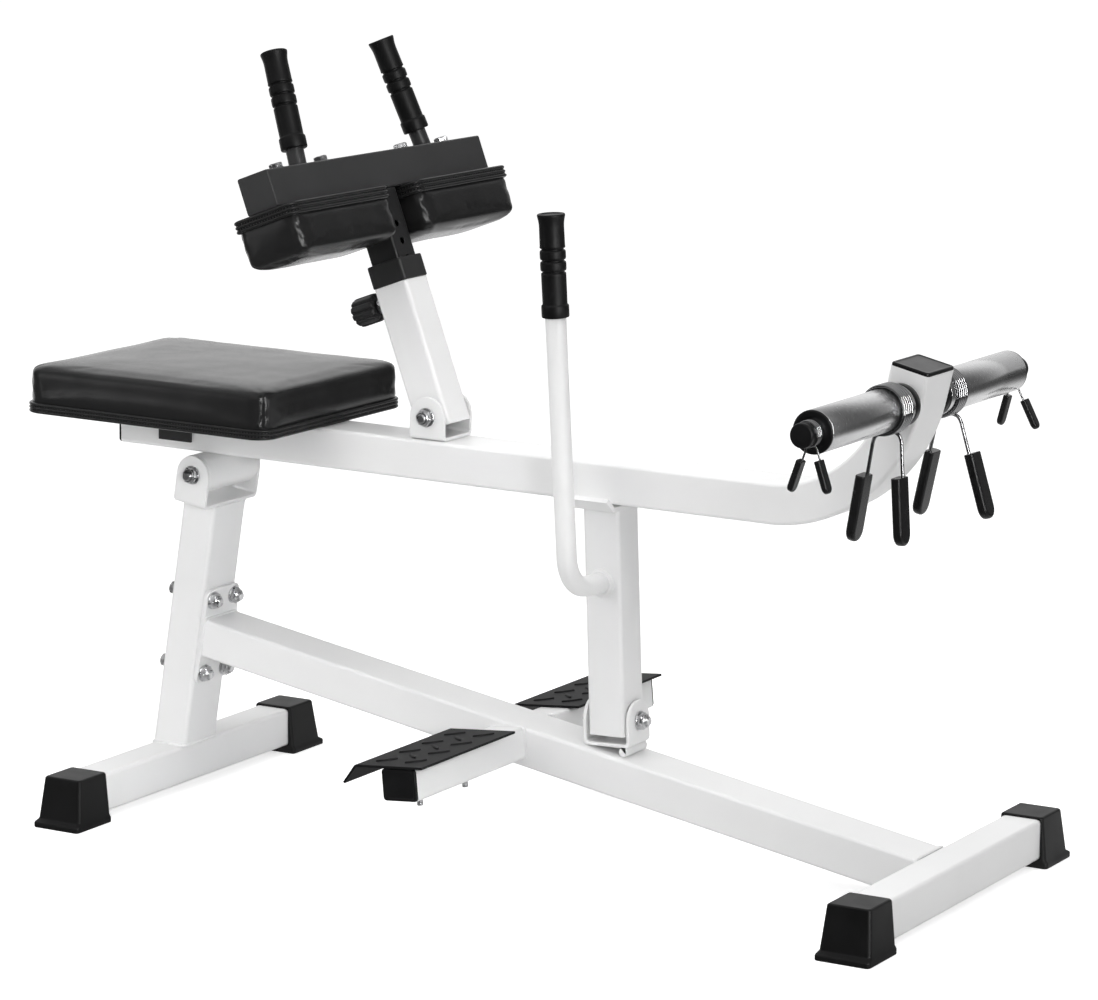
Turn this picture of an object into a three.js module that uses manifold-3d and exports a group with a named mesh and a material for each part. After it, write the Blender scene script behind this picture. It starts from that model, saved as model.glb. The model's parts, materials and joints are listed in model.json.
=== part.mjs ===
// Seated calf raise machine: a white box-tube frame, a lever arm that carries
// the seat, the knee rest and the weight bar, and a safety post that holds the
// arm up at rest. Millimetres, +X from the seat to the weights, +Y to the left
// of a person on the seat, +Z up. The "near" side is -Y, the side of the lever.

import * as THREE from 'three';
import { mergeVertices } from 'three/addons/utils/BufferGeometryUtils.js';
import Module from 'manifold-3d';

const wasm = await Module();
wasm.setup();
const { Manifold, Mesh: SolidMesh } = wasm;

// ---------------------------------------------------------------- sizes

// Box tube stock
const TUBE = 50;             // side of the square tube, and height of the wide tube
const WIDE = 70;             // width of the wide tube (arm, base beam, rear upright)
const WALL = 2.5;            // tube wall
const CORNER = 5;            // outer corner radius of every tube
const GAP = 0.3;             // clearance between pieces that touch
const OVERRUN = 20;          // how far a cutter runs past the piece that it cuts

// Cross tubes on the floor and their rubber feet
const AXLE_TRACK = 1096;     // rear cross tube to front cross tube
const CROSS_HALF = 252;      // half length of a cross tube
const FOOT_INNER = 200;      // inner face of a foot, from the middle
const FLOOR_CLEAR = 10.5;    // underside of the cross tubes above the floor
const FOOT_TOP_WALL = 2.7;   // rubber over the tube
const FOOT_TOP_REACH = 57;   // foot's length at its top
const FOOT_FOOT_REACH = 65;  // foot's length at the top of its flange
const FOOT_FLANGE_REACH = 72.5; // foot's length at the floor
const FOOT_SIDE_WALL = 3;    // rubber beside the tube at the top
const FOOT_TAPER = 4.5;      // how much wider the foot gets, each side
const FOOT_FLANGE = 2.4;     // flange's overhang at the sides
const FOOT_FLANGE_T = 6.5;   // flange's edge height
const FOOT_FILLET = 4;       // slope between the flange and the walls
const FOOT_EDGE = 2;         // chamfer round the foot's top
const FOOT_RADIUS = 5;       // foot's corner radius in plan

// Sloping base beam and rear upright, square to each other
const BEAM_SLOPE_DEG = 9.6;
const PLATE_T = 6;           // end plate of the beam
const PLATE_H = 126;
const PLATE_RADIUS = 9;
const PLATE_BOLT_Y = 22.5;   // bolt places on the end plate, from its middle
const PLATE_BOLT_Z = 49;
const PLATE_HOLE_R = 5.4;
const UPRIGHT_HEAD = 36;     // pivot above the inner floor of the rear bracket
const UPRIGHT_SHIFT = 1.6;   // upright's axis ahead of the rear tube's middle
const PIVOT_Z = 422.2;       // arm's pivot above the floor

// U brackets and their bolts
const EAR_T = 4.5;           // bracket plate
const EAR_BEND = 2;          // inside bend radius
const BRACKET_DEPTH = 50;    // knee and post brackets, across the ears
const REAR_BRACKET_DEPTH = 49;
const REAR_BRACKET_HALF = 57.5; // half width over the ears
const BOLT_R = 5;
const WASHER_R = 10.5;
const WASHER_T = 2;
const HEX_FLATS = 17;
const HEX_H = 7;
const THREAD_END = 3.5;      // thread past the nut
const HINGE_HEAD = 24;       // knee pivot above the bracket's inner floor
const HINGE_SIDE = 2.9;      // post's side clearance in its bracket

// Foot bar and its two tread plates
const FOOTBAR_W = 48;
const FOOTBAR_H = 40;
const FOOTBAR_X = 517;       // from the rear cross tube
const FOOTBAR_RISE = 1.2;    // top front edge above the beam's top
const FOOTBAR_TILT_DEG = 5;
const FOOTBAR_HALF = 277;
const TREAD_L = 95;
const TREAD_T = 3;
const TREAD_INNER = 75;      // tread plate's ends, from the middle
const TREAD_OUTER = 284;
const TREAD_AHEAD = 36;      // front edge ahead of the bar's middle
const TREAD_FLANGE = 28.5;
const TREAD_FLANGE_DEG = 50;
const LOZENGE_L = 27;
const LOZENGE_W = 6;
const LOZENGE_H = 1.5;
const LOZENGE_SHARES = [0.45, 0.5]; // top width, and length of the flat sides
const LOZENGE_TURN_DEG = 45;
const LOZENGE_STEP_X = 41;
const LOZENGE_STEP_Y = 50;
const PLUG_T = 4;            // end plugs of the tubes
const PLUG_DEPTH = 15;
const PLUG_FIT = 0.4;
const PLUG_INSET = 0.6;
const PLUG_EDGE = 1.2;

// Lever arm: straight, then one large bend up into a short column
const ARM_SLOPE_DEG = 0.85;  // nose down
const SLEEVE_R = 25;         // pivot sleeve under the arm
const SLEEVE_BORE_CLEAR = 0.3;
const SLEEVE_BUSH = 10;      // length of the bush at each end
const SLEEVE_CORE_R = 18;
const SLEEVE_SIDE = 0.5;     // side clearance in the ears
const ARM_REAR = 128;        // arm's tail behind the pivot
const ARM_STRAIGHT = 807;    // start of the bend ahead of the pivot
const ARM_BEND_R = 175;
const ARM_BEND_DEG = 77.85;
const ARM_BEND_STEPS = 14;
const COLUMN_END = 36.5;     // straight tube past the bend
const BAR_DOWN = 40.2;         // bar's axis below the end of the column

// Weight bar, sleeves and spring collars
const BAR_R = 12.5;
const BAR_HALF = 277;
const CAP_R = 14.2;
const CAP_LENGTH = 11;
const CAP_END = 4;
const CAP_EDGE = 1.5;
const SLEEVE_OUT_R = 25;     // the 50 mm sleeves
const SLEEVE_WALL = 2.5;
const SLEEVE_END = 251;
const INNER_RING_L = 12;      // black ring between the arm and a sleeve
const RING_T = 3;            // black ring on a sleeve's outer end
const RING_DEPTH = 8;
const RING_EDGE = 1;
const BIG_WIRE_R = 2.2;
const BIG_PITCH = 4.9;
const BIG_TURNS = 5;
const BIG_OFF = 9.2;         // coil off the inner ring
const BIG_CLEAR = 0.3;       // coil off the sleeve
const BIG_BEND = 11;         // height of a tail's bend
const SMALL_WIRE_R = 1.25;
const SMALL_PITCH = 3.1;
const SMALL_TURNS = 3;
const SMALL_OFF = 1.6;       // coil off the sleeve's end ring
const SMALL_CLEAR = 0.3;
const SMALL_BEND = 5;
const COIL_STEPS = 8;        // steps of one turn
const COIL_SIDES = 5;
// a tail's bend, as shares of its sideways reach and height
const TAIL_SHARES = [[0.4, 0.07], [0.78, 0.36], [1, 1]];
const BIG_GRIP_L = 79;
const BIG_GRIP_W = 26;
const BIG_GRIP_T = 12;
const BIG_GRIP_OUT = 8;      // grip's middle outside its wire, along the bar
const BIG_GRIP_HOLE = 12;    // wire inside the grip
const SMALL_GRIP_L = 38;
const SMALL_GRIP_W = 14;
const SMALL_GRIP_T = 7.5;
const SMALL_GRIP_OUT = 3;
const SMALL_GRIP_HOLE = 8;
const GRIP_CLEAR = 0.3;
const COLLAR_GRIP_SHARE = 0.32; // edge rounding of a collar's grip over its thickness
// each collar's turn on the bar, and for its rear and front tail the sideways reach,
// the drop of the grip's top under the bar, and the lean
const BIG_NEAR_ROLL_DEG = 0;
const BIG_NEAR_REAR_REACH = 16.2;
const BIG_NEAR_REAR_DROP = 74;
const BIG_NEAR_REAR_LEAN_DEG = 8.9;
const BIG_NEAR_FRONT_REACH = 16.2;
const BIG_NEAR_FRONT_DROP = 77.7;
const BIG_NEAR_FRONT_LEAN_DEG = 4.2;
const BIG_FAR_ROLL_DEG = 8;
const BIG_FAR_REAR_REACH = 16.8;
const BIG_FAR_REAR_DROP = 67.3;
const BIG_FAR_REAR_LEAN_DEG = 19.4;
const BIG_FAR_FRONT_REACH = 21;
const BIG_FAR_FRONT_DROP = 75.6;
const BIG_FAR_FRONT_LEAN_DEG = 9.5;
const SMALL_NEAR_ROLL_DEG = 5;
const SMALL_NEAR_REAR_REACH = 7.3;
const SMALL_NEAR_REAR_DROP = 28.5;
const SMALL_NEAR_REAR_LEAN_DEG = 23.6;
const SMALL_NEAR_FRONT_REACH = 9.4;
const SMALL_NEAR_FRONT_DROP = 29.9;
const SMALL_NEAR_FRONT_LEAN_DEG = 14.3;
const SMALL_FAR_ROLL_DEG = 8;
const SMALL_FAR_REAR_REACH = 6.6;
const SMALL_FAR_REAR_DROP = 29.8;
const SMALL_FAR_REAR_LEAN_DEG = 22;
const SMALL_FAR_FRONT_REACH = 9.8;
const SMALL_FAR_FRONT_DROP = 37.4;
const SMALL_FAR_FRONT_LEAN_DEG = 20;

// Seat
const SEAT_L = 374;
const SEAT_W = 316;
const SEAT_H = 63;
const SEAT_AHEAD = 181;      // front edge ahead of the arm's pivot
const SEAT_CROWN = 4.5;
const SEAT_RADIUS = 26;
const SEAT_BAND = 13.5;      // height of the piped band
const SEAT_INSET = 4.5;      // wall behind the piping
const SEAT_ROUND = 15;       // rounding of the top edge
const SEAT_BOARD_UP = 3.2;   // board above the lip
const SEAT_LIP = 14;
const STRAP_T = 2.8;         // strap under the board
const STRAP_SIDE_T = 4;
const STRAP_L = 50;
const STRAP_DROP = 38.5;     // side plates down from the arm's top
const STRAP_X = -41;         // strap's middle, from the pivot

// Cushion sections, from the lip up: piping in beads, wall and rounded edge as depth
// and height, crown as size and height
const PIPING_SHARES = [[0, 1], [0.8, 2], [0, 3], [0.8, 4], [0, 5], [1, 6]];
const WALL_SHARES = [[0, 0.35]];
const EDGE_SHARES = [[0.08, 1], [0.2, 0.5], [0.5, 0.16], [1, 0]];
const CROWN_SHARES = [[0.88, 0.42], [0.6, 0.85], [0.25, 1]];

// Knee rest
const KNEE_AHEAD = 334;      // knee pivot ahead of the arm's pivot
const KNEE_LEAN_DEG = 20.85; // backwards from square to the arm
const KNEE_POST_TOP = 168.5; // above its pivot
const COLLAR_W = 52;
const COLLAR_H = 28;
const COLLAR_TAPER = 1;
const COLLAR_SKIRT = 12;
const MAST = 42;
const MAST_WALL = 2;
const MAST_CORNER = 4;
const MAST_FOOT = 62;        // lower end of the mast above the pivot, inside the post
const MAST_HOLE_R = 4.5;
const MAST_PITCH = 22.5;
const MAST_HOLES = 8;
const MAST_HOLE_FIRST = 81.5;
const PIN_UP = 149;          // pull pin above the pivot
const PIN_R = 4;
const BARREL_R = 10;
const BARREL_L = 13.5;
const KNOB_R = 18;
const KNOB_L = 34;
const KNOB_GAP = 1;
const KNOB_FLUTES = 10;
const KNOB_FLUTE_R = 3;
const KNOB_EDGE = 3;
const KNOB_HOLLOW_R = 12;    // recess in the knob's end round its insert
const KNOB_HOLLOW = 2;
const KNOB_INSERT_R = 6;
const BOX_D = 46;            // knee box, front to back
const BOX_H = 46;
const BOX_HALF = 235;
const BOX_UP = 284;          // underside above the pivot
const BOX_WALL = 2;
const BOX_CORNER = 2.5;
const PAD_D = 96;
const PAD_L = 214;
const PAD_H = 67;
const PAD_INNER = 28.5;
const PAD_RADIUS = 15;
const PAD_BAND = 16;
const PAD_INSET = 4;
const PAD_ROUND = 17;
const PAD_CROWN = 3;
const PAD_BOLT_STEP = 94;
const PAD_BOLT_R = 4.2;
const HANDLE_Y = 138;        // handle's foot from the middle
const HANDLE_IN_DEG = 8.4;   // both lean inwards
const HANDLE_R = 11;
const HANDLE_WALL = 2;
const GRIP_UP = 22;          // grip's lower end above the box

// Rubber grips, all three alike
const GRIP_L = 122;
const GRIP_R = 14.8;
const GRIP_RING_R = 16.4;
const GRIP_RING_L = 15;
const GRIP_FLARE_R = 16.6;
const GRIP_FLARE_L = 12;
const GRIP_GROOVE_AT = 54;   // first groove above the grip's lower end
const GRIP_GROOVE_STEP = 13.3;
const GRIP_GROOVES = 3;
const GRIP_GROOVE_D = 1.8;
const GRIP_GROOVE_W = 3;
const GRIP_EDGE = 1.5;
const GRIP_END = 4;          // rubber over the tube's end
const GRIP_FIT = 0.3;

// Safety post with its lever
const POST_X = 648.5;        // pivot ahead of the rear cross tube
const POST_TILT_DEG = 1.9;   // top leans to the rear
const POST_HEAD = 26;        // pivot above the bracket's inner floor
const POST_FOOT = 17.5;      // tube below the pivot
const ROD_R = 5.8;           // rod that levels the bracket on the sloping beam
const ROD_SINK = 0.5;        // weld of the rod into the bracket's floor
const REST_GAP = 2.2;        // arm above the cradle, so that the post can swing out
const CRADLE_T = 6;
const CRADLE_L = 56;
const CRADLE_FAR = 25;
const CRADLE_NEAR = 37.5;
const CRADLE_LIP = 20;
const CRADLE_LIP_DEG = 40;   // from level
const LEVER_R = 12.5;
const LEVER_WALL = 2;
const LEVER_UP = 171;        // lever's root above the post's pivot
const LEVER_OUT = 105.5;     // from the post's middle to the upright part
const LEVER_RISE_DEG = 5;    // rise of the part next to the post
const LEVER_BEND_R = 43;
const LEVER_LEAN_DEG = 1.9;  // outwards
const LEVER_TOP = 621;       // end of the tube above the post's pivot
const LEVER_BEND_STEPS = 8;

// Facets
const ARC = 3;               // steps in a tube's corner
const BORE_ARC = 1;          // and in the corner of its bore
const CUSHION_ARC = 4;
const ROUND = 24;            // sides of a round piece
const FINE = 32;
const GRIP_ROUND = 18;
const SMALL_ROUND = 12;
const FLUTE_ROUND = 8;
const HOLE_ROUND = 10;
const EAR_ARC = 12;          // steps over the top of a bracket's ear
const GAP_SAMPLES = 4;       // points taken on each stretch of wire
const WELD = 1e-4;

// ---------------------------------------------------------------- materials

const white = new THREE.MeshStandardMaterial({ color: 0xf1f1f0, roughness: 0.4, metalness: 0 });
const blackPlastic = new THREE.MeshStandardMaterial({ color: 0x16161a, roughness: 0.5, metalness: 0 });
const rubber = new THREE.MeshStandardMaterial({ color: 0x141416, roughness: 0.75, metalness: 0 });
const blackSteel = new THREE.MeshStandardMaterial({ color: 0x2b2b2d, roughness: 0.45, metalness: 0.1 });
const vinyl = new THREE.MeshStandardMaterial({ color: 0x1d1d1f, roughness: 0.35, metalness: 0 });
const chrome = new THREE.MeshStandardMaterial({ color: 0xd6d7d9, roughness: 0.12, metalness: 1 });
const satin = new THREE.MeshStandardMaterial({ color: 0xc9cacc, roughness: 0.3, metalness: 1 });
const zinc = new THREE.MeshStandardMaterial({ color: 0xb9bbbd, roughness: 0.25, metalness: 1 });

// ---------------------------------------------------------------- helpers

const rad = THREE.MathUtils.degToRad;
const machine = new THREE.Group();

// A closed geometry becomes a solid; triangles that shrink to a line are left out.
function solid(geometry) {
  const g = geometry.clone();
  g.deleteAttribute('normal');
  g.deleteAttribute('uv');
  const merged = mergeVertices(g, WELD);
  const position = new Float32Array(merged.attributes.position.array);
  const source = merged.index.array;
  const faces = [];
  for (let i = 0; i < source.length; i += 3) {
    const [a, b, c] = [source[i], source[i + 1], source[i + 2]];
    if (a !== b && b !== c && c !== a) faces.push(a, b, c);
  }
  let out = new Manifold(new SolidMesh({ numProp: 3, vertProperties: position, triVerts: new Uint32Array(faces) }));
  if (out.volume() < 0) {
    for (let i = 0; i < faces.length; i += 3) [faces[i], faces[i + 1]] = [faces[i + 1], faces[i]];
    out = new Manifold(new SolidMesh({ numProp: 3, vertProperties: position, triVerts: new Uint32Array(faces) }));
  }
  return out;
}

function add(parent, name, body, material) {
  const m = body.getMesh();
  let geometry = new THREE.BufferGeometry();
  geometry.setAttribute('position', new THREE.BufferAttribute(Float32Array.from(m.vertProperties), m.numProp));
  geometry.setIndex(Array.from(m.triVerts));
  geometry = geometry.toNonIndexed();
  geometry.computeVertexNormals();
  const mesh = new THREE.Mesh(geometry, material);
  mesh.name = name;
  parent.add(mesh);
  return mesh;
}

function group(parent, x, y, z, turnY = 0, turnX = 0, turnZ = 0) {
  const g = new THREE.Group();
  g.position.set(x, y, z);
  g.rotation.set(turnX, turnY, turnZ);
  parent.add(g);
  return g;
}

function roundedRect(w, h, r, x = 0, y = 0, steps = ARC) {
  const [a, b] = [w / 2, h / 2];
  if (r === 0) return new THREE.Shape([[-a, -b], [a, -b], [a, b], [-a, b]].map(([u, v]) => new THREE.Vector2(x + u, y + v)));
  return new THREE.Shape(ringPoints(x - a, x + a, y - b, y + b, r, 0, steps).map((p) => new THREE.Vector2(p.x, p.y)));
}

// Prisms from an outline: along X the outline is (Y, Z), along Y it is (X, Z),
// along Z it is (X, Y).
function alongX(shape, from, to) {
  const g = new THREE.ExtrudeGeometry(shape, { depth: to - from, bevelEnabled: false, curveSegments: BORE_ARC });
  g.translate(0, 0, from);
  g.applyMatrix4(new THREE.Matrix4().set(0, 0, 1, 0, 1, 0, 0, 0, 0, 1, 0, 0, 0, 0, 0, 1));
  return solid(g);
}
function alongY(shape, from, to) {
  const g = new THREE.ExtrudeGeometry(shape, { depth: to - from, bevelEnabled: false, curveSegments: BORE_ARC });
  g.translate(0, 0, -to);
  g.rotateX(Math.PI / 2);
  return solid(g);
}
function alongZ(shape, from, to) {
  const g = new THREE.ExtrudeGeometry(shape, { depth: to - from, bevelEnabled: false, curveSegments: BORE_ARC });
  g.translate(0, 0, from);
  return solid(g);
}
// Points of an arc about (x, y), ends included.
function arcPoints(x, y, r, fromDeg, toDeg, steps) {
  return Array.from({ length: steps + 1 }, (_, i) => {
    const a = rad(fromDeg + ((toDeg - fromDeg) * i) / steps);
    return new THREE.Vector2(x + r * Math.cos(a), y + r * Math.sin(a));
  });
}
const disc = (r, x, y, n) => new THREE.Shape(arcPoints(x, y, r, 0, 360, n).slice(1));
const rodX = (r, from, to, y = 0, z = 0, n = SMALL_ROUND) => alongX(disc(r, y, z, n), from, to);
const rodY = (r, from, to, x = 0, z = 0, n = SMALL_ROUND) => alongY(disc(r, x, z, n), from, to);
const rodZ = (r, from, to, x = 0, y = 0, n = SMALL_ROUND) => alongZ(disc(r, x, y, n), from, to);

// A round piece from [radius, height] points, turned about +Z.
function turned(points, n = ROUND) {
  const g = new THREE.LatheGeometry(points.map(([r, z]) => new THREE.Vector2(r, z)), n);
  g.rotateX(Math.PI / 2);
  return solid(g);
}
const toY = (s) => s.rotate([-90, 0, 0]);      // +Z to +Y
const toMinusY = (s) => s.rotate([90, 0, 0]);  // +Z to -Y
const toX = (s) => s.rotate([0, 90, 0]);       // +Z to +X
const toMinusX = (s) => s.rotate([0, -90, 0]); // +Z to -X

function hexAlongY(flats, from, to) {
  const r = flats / Math.sqrt(3);
  const s = new THREE.Shape();
  for (let i = 0; i < 6; i++) {
    const a = rad(30 + 60 * i);
    if (i === 0) s.moveTo(r * Math.cos(a), r * Math.sin(a));
    else s.lineTo(r * Math.cos(a), r * Math.sin(a));
  }
  return alongY(s, from, to);
}

// Rings of equal counts joined into one closed body, each end closed by a fan.
function loft(rings, closed = false) {
  const n = rings[0].length;
  const position = [];
  const index = [];
  rings.forEach((ring) => ring.forEach((p) => position.push(p.x, p.y, p.z)));
  const last = closed ? rings.length : rings.length - 1;
  for (let i = 0; i < last; i++) {
    const a = i * n;
    const b = ((i + 1) % rings.length) * n;
    for (let j = 0; j < n; j++) {
      const k = (j + 1) % n;
      index.push(a + j, a + k, b + k, a + j, b + k, b + j);
    }
  }
  if (!closed) {
    [0, rings.length - 1].forEach((i) => {
      const centre = rings[i].reduce((s, p) => s.add(p), new THREE.Vector3()).divideScalar(n);
      const c = position.length / 3;
      position.push(centre.x, centre.y, centre.z);
      for (let j = 0; j < n; j++) {
        const k = (j + 1) % n;
        if (i === 0) index.push(c, i * n + k, i * n + j);
        else index.push(c, i * n + j, i * n + k);
      }
    });
  }
  const g = new THREE.BufferGeometry();
  g.setAttribute('position', new THREE.Float32BufferAttribute(position, 3));
  g.setIndex(index);
  return g;
}

// Points round a rounded rectangle in XY, counter-clockwise, at height z.
function ringPoints(x0, x1, y0, y1, r, z, steps) {
  const out = [];
  const corners = [[x1 - r, y0 + r, -90], [x1 - r, y1 - r, 0], [x0 + r, y1 - r, 90], [x0 + r, y0 + r, 180]];
  corners.forEach(([cx, cy, start]) => {
    for (let i = 0; i <= steps; i++) {
      const a = rad(start + (90 * i) / steps);
      out.push(new THREE.Vector3(cx + r * Math.cos(a), cy + r * Math.sin(a), z));
    }
  });
  return out;
}

// A box tube: outline (width, height) minus its bore.
function tubeShape(w, h, r, wall) {
  const s = roundedRect(w, h, r);
  s.holes.push(new THREE.Path(roundedRect(w - 2 * wall, h - 2 * wall, r - wall, 0, 0, BORE_ARC).getPoints()));
  return s;
}

// The cap of a tube's end: a plate with softened edges and a plug in the bore,
// facing +Z, with the tube's end at z = 0.
function endPlug(w, h) {
  const [x, y] = [w / 2 - PLUG_INSET, h / 2 - PLUG_INSET];
  const r = CORNER - PLUG_INSET;
  const plate = loft([
    ringPoints(-x, x, -y, y, r, GAP, ARC),
    ringPoints(-x, x, -y, y, r, PLUG_T - PLUG_EDGE, ARC),
    ringPoints(-x + PLUG_EDGE, x - PLUG_EDGE, -y + PLUG_EDGE, y - PLUG_EDGE, r - PLUG_EDGE, PLUG_T, ARC),
  ]);
  const core = alongZ(roundedRect(w - 2 * WALL - 2 * PLUG_FIT, h - 2 * WALL - 2 * PLUG_FIT, CORNER - WALL, 0, 0, BORE_ARC), -PLUG_DEPTH, GAP + PLUG_EDGE);
  return solid(plate).add(core);
}

// A U bracket with its bolt along Y at the origin and its base below.
function uBracket(half, depth, head, holeR) {
  const inner = half - EAR_T;
  const base = -head;
  const top = depth / 2;
  const bend = EAR_BEND + EAR_T;
  const s = new THREE.Shape([
    new THREE.Vector2(-half, top),
    ...arcPoints(-half + bend, base - EAR_T + bend, bend, 180, 270, ARC),
    ...arcPoints(half - bend, base - EAR_T + bend, bend, 270, 360, ARC),
    new THREE.Vector2(half, top),
    new THREE.Vector2(inner, top),
    ...arcPoints(inner - EAR_BEND, base + EAR_BEND, EAR_BEND, 0, -90, BORE_ARC),
    ...arcPoints(-inner + EAR_BEND, base + EAR_BEND, EAR_BEND, -90, -180, BORE_ARC),
    new THREE.Vector2(-inner, top),
  ]);
  const side = new THREE.Shape([
    new THREE.Vector2(-top, base - EAR_T),
    new THREE.Vector2(top, base - EAR_T),
    ...arcPoints(0, 0, top, 0, 180, EAR_ARC),
  ]);
  return alongX(s, -top, top)
    .intersect(alongY(side, -half - OVERRUN, half + OVERRUN))
    .subtract(rodY(holeR, -half - OVERRUN, half + OVERRUN));
}

// A through bolt along Y: nut and thread end on the -Y side, head on the +Y side.
function throughBolt(half) {
  const seat = half + GAP;
  const face = seat + WASHER_T;
  return rodY(BOLT_R, -face - HEX_H - THREAD_END, face + HEX_H / 2)
    .add(rodY(WASHER_R, -face, -seat, 0, 0, ROUND))
    .add(rodY(WASHER_R, seat, face, 0, 0, ROUND))
    .add(hexAlongY(HEX_FLATS, -face - HEX_H, -face + WASHER_T / 2))
    .add(hexAlongY(HEX_FLATS, face - WASHER_T / 2, face + HEX_H));
}

// ---------------------------------------------------------------- base frame

const slope = rad(BEAM_SLOPE_DEG);
const crossMid = FLOOR_CLEAR + TUBE / 2;
const crossTop = FLOOR_CLEAR + TUBE;
const base = group(machine, 0, 0, 0);

function crossTube(name, x) {
  add(group(base, x, 0, crossMid), name, alongY(tubeShape(TUBE, TUBE, CORNER, WALL), -CROSS_HALF, CROSS_HALF), white);
}
crossTube('rear_cross_tube', 0);
crossTube('front_cross_tube', AXLE_TRACK);

// Rubber foot over a tube's end: a tapering boot with a flared foot, bored for the tube.
function foot(name, x, side) {
  const halfTop = TUBE / 2 + FOOT_SIDE_WALL;
  const halfFoot = halfTop + FOOT_TAPER;
  const halfFlange = halfFoot + FOOT_FLANGE;
  const top = crossTop + FOOT_TOP_WALL;
  const body = solid(loft([
    ringPoints(-halfFlange, halfFlange, 0, FOOT_FLANGE_REACH, FOOT_RADIUS, 0, ARC),
    ringPoints(-halfFlange, halfFlange, 0, FOOT_FLANGE_REACH, FOOT_RADIUS, FOOT_FLANGE_T, ARC),
    ringPoints(-halfFoot, halfFoot, 0, FOOT_FOOT_REACH, FOOT_RADIUS, FOOT_FLANGE_T + FOOT_FILLET, ARC),
    ringPoints(-halfTop, halfTop, 0, FOOT_TOP_REACH, FOOT_RADIUS, top - FOOT_EDGE, ARC),
    ringPoints(-halfTop + FOOT_EDGE, halfTop - FOOT_EDGE, FOOT_EDGE, FOOT_TOP_REACH - FOOT_EDGE, FOOT_RADIUS - FOOT_EDGE, top, ARC),
  ]));
  const bore = TUBE + 2 * GAP;
  const pocket = alongY(roundedRect(bore, bore, CORNER, 0, crossMid), -OVERRUN, CROSS_HALF - FOOT_INNER + GAP);
  const place = group(base, x, side * FOOT_INNER, 0);
  place.rotation.z = side > 0 ? 0 : Math.PI;
  add(place, name, body.subtract(pocket), rubber);
}
foot('foot_rear_near', 0, -1);
foot('foot_rear_far', 0, 1);
foot('foot_front_near', AXLE_TRACK, -1);
foot('foot_front_far', AXLE_TRACK, 1);

// The arm's pivot lies on the upright's axis, one sleeve under the arm.
const armSlope = rad(ARM_SLOPE_DEG);
const pivotZ = PIVOT_Z;
const pivotX = UPRIGHT_SHIFT + (pivotZ - crossTop) * Math.tan(slope);

// Rear upright, in a frame at the pivot whose Z runs up the upright. The beam runs
// square to it, along this frame's X, and its top meets the top rear edge of the
// front cross tube.
const upright = group(base, pivotX, 0, pivotZ, slope);
const toMachine = (s) => s.rotate([0, BEAM_SLOPE_DEG, 0]).translate([pivotX, 0, pivotZ]);
const toUpright = (s) => s.translate([-pivotX, 0, -pivotZ]).rotate([0, -BEAM_SLOPE_DEG, 0]);
const meetX = AXLE_TRACK - TUBE / 2 - pivotX;
const meetZ = crossTop - pivotZ;
const beamZ = meetX * Math.sin(slope) + meetZ * Math.cos(slope) - TUBE / 2;
const beamEnd = meetX * Math.cos(slope) - meetZ * Math.sin(slope);
const uprightTop = -UPRIGHT_HEAD - EAR_T - GAP;
const uprightFoot = (crossTop - pivotZ) / Math.cos(slope);
const plateBack = TUBE / 2 + GAP;
const plateFront = plateBack + PLATE_T;
// bolt holes of the end plate
function boltHoles(from, to) {
  return [[-1, -1], [-1, 1], [1, -1], [1, 1]]
    .map(([i, j]) => rodX(PLATE_HOLE_R, from, to, i * PLATE_BOLT_Y, beamZ + j * PLATE_BOLT_Z));
}
{
  // cut level on the top of the rear cross tube
  const block = alongZ(roundedRect(AXLE_TRACK, AXLE_TRACK, 0), -AXLE_TRACK, crossTop + GAP);
  let tube = alongZ(tubeShape(TUBE, WIDE, CORNER, WALL), uprightFoot - OVERRUN, uprightTop);
  tube = toUpright(toMachine(tube).subtract(block));
  boltHoles(-TUBE, TUBE).forEach((hole) => { tube = tube.subtract(hole); });
  add(upright, 'rear_upright', tube, white);
}
add(upright, 'rear_pivot_bracket', uBracket(REAR_BRACKET_HALF, REAR_BRACKET_DEPTH, UPRIGHT_HEAD, BOLT_R + GAP), white);
add(upright, 'rear_pivot_bolt', throughBolt(REAR_BRACKET_HALF), zinc);
{
  // cut upright at the rear face of the front cross tube
  const block = alongX(roundedRect(AXLE_TRACK, AXLE_TRACK, 0), AXLE_TRACK - TUBE / 2 - GAP, AXLE_TRACK + AXLE_TRACK);
  let beam = alongX(tubeShape(WIDE, TUBE, CORNER, WALL), plateFront - PLATE_T / 2, beamEnd + OVERRUN).translate([0, 0, beamZ]);
  beam = toUpright(toMachine(beam).subtract(block));
  let plate = alongX(roundedRect(WIDE, PLATE_H, PLATE_RADIUS, 0, beamZ), plateBack, plateFront);
  boltHoles(plateBack - OVERRUN, plateFront + OVERRUN).forEach((hole) => { plate = plate.subtract(hole); });
  add(upright, 'base_beam', beam.add(plate), white);
}
// Height of the beam's top above the floor at x.
const beamTop = (x) => crossTop + (AXLE_TRACK - TUBE / 2 - x) * Math.tan(slope);

// Foot bar: one stub on each side of the beam, tilted up to the front.
const tilt = rad(FOOTBAR_TILT_DEG);
const barFrontX = FOOTBAR_X + (FOOTBAR_W / 2) * Math.cos(tilt) - (FOOTBAR_H / 2) * Math.sin(tilt);
const footbarZ = beamTop(barFrontX) + FOOTBAR_RISE - (FOOTBAR_W / 2) * Math.sin(tilt) - (FOOTBAR_H / 2) * Math.cos(tilt);
const footbar = group(base, FOOTBAR_X, 0, footbarZ, -tilt);

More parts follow.
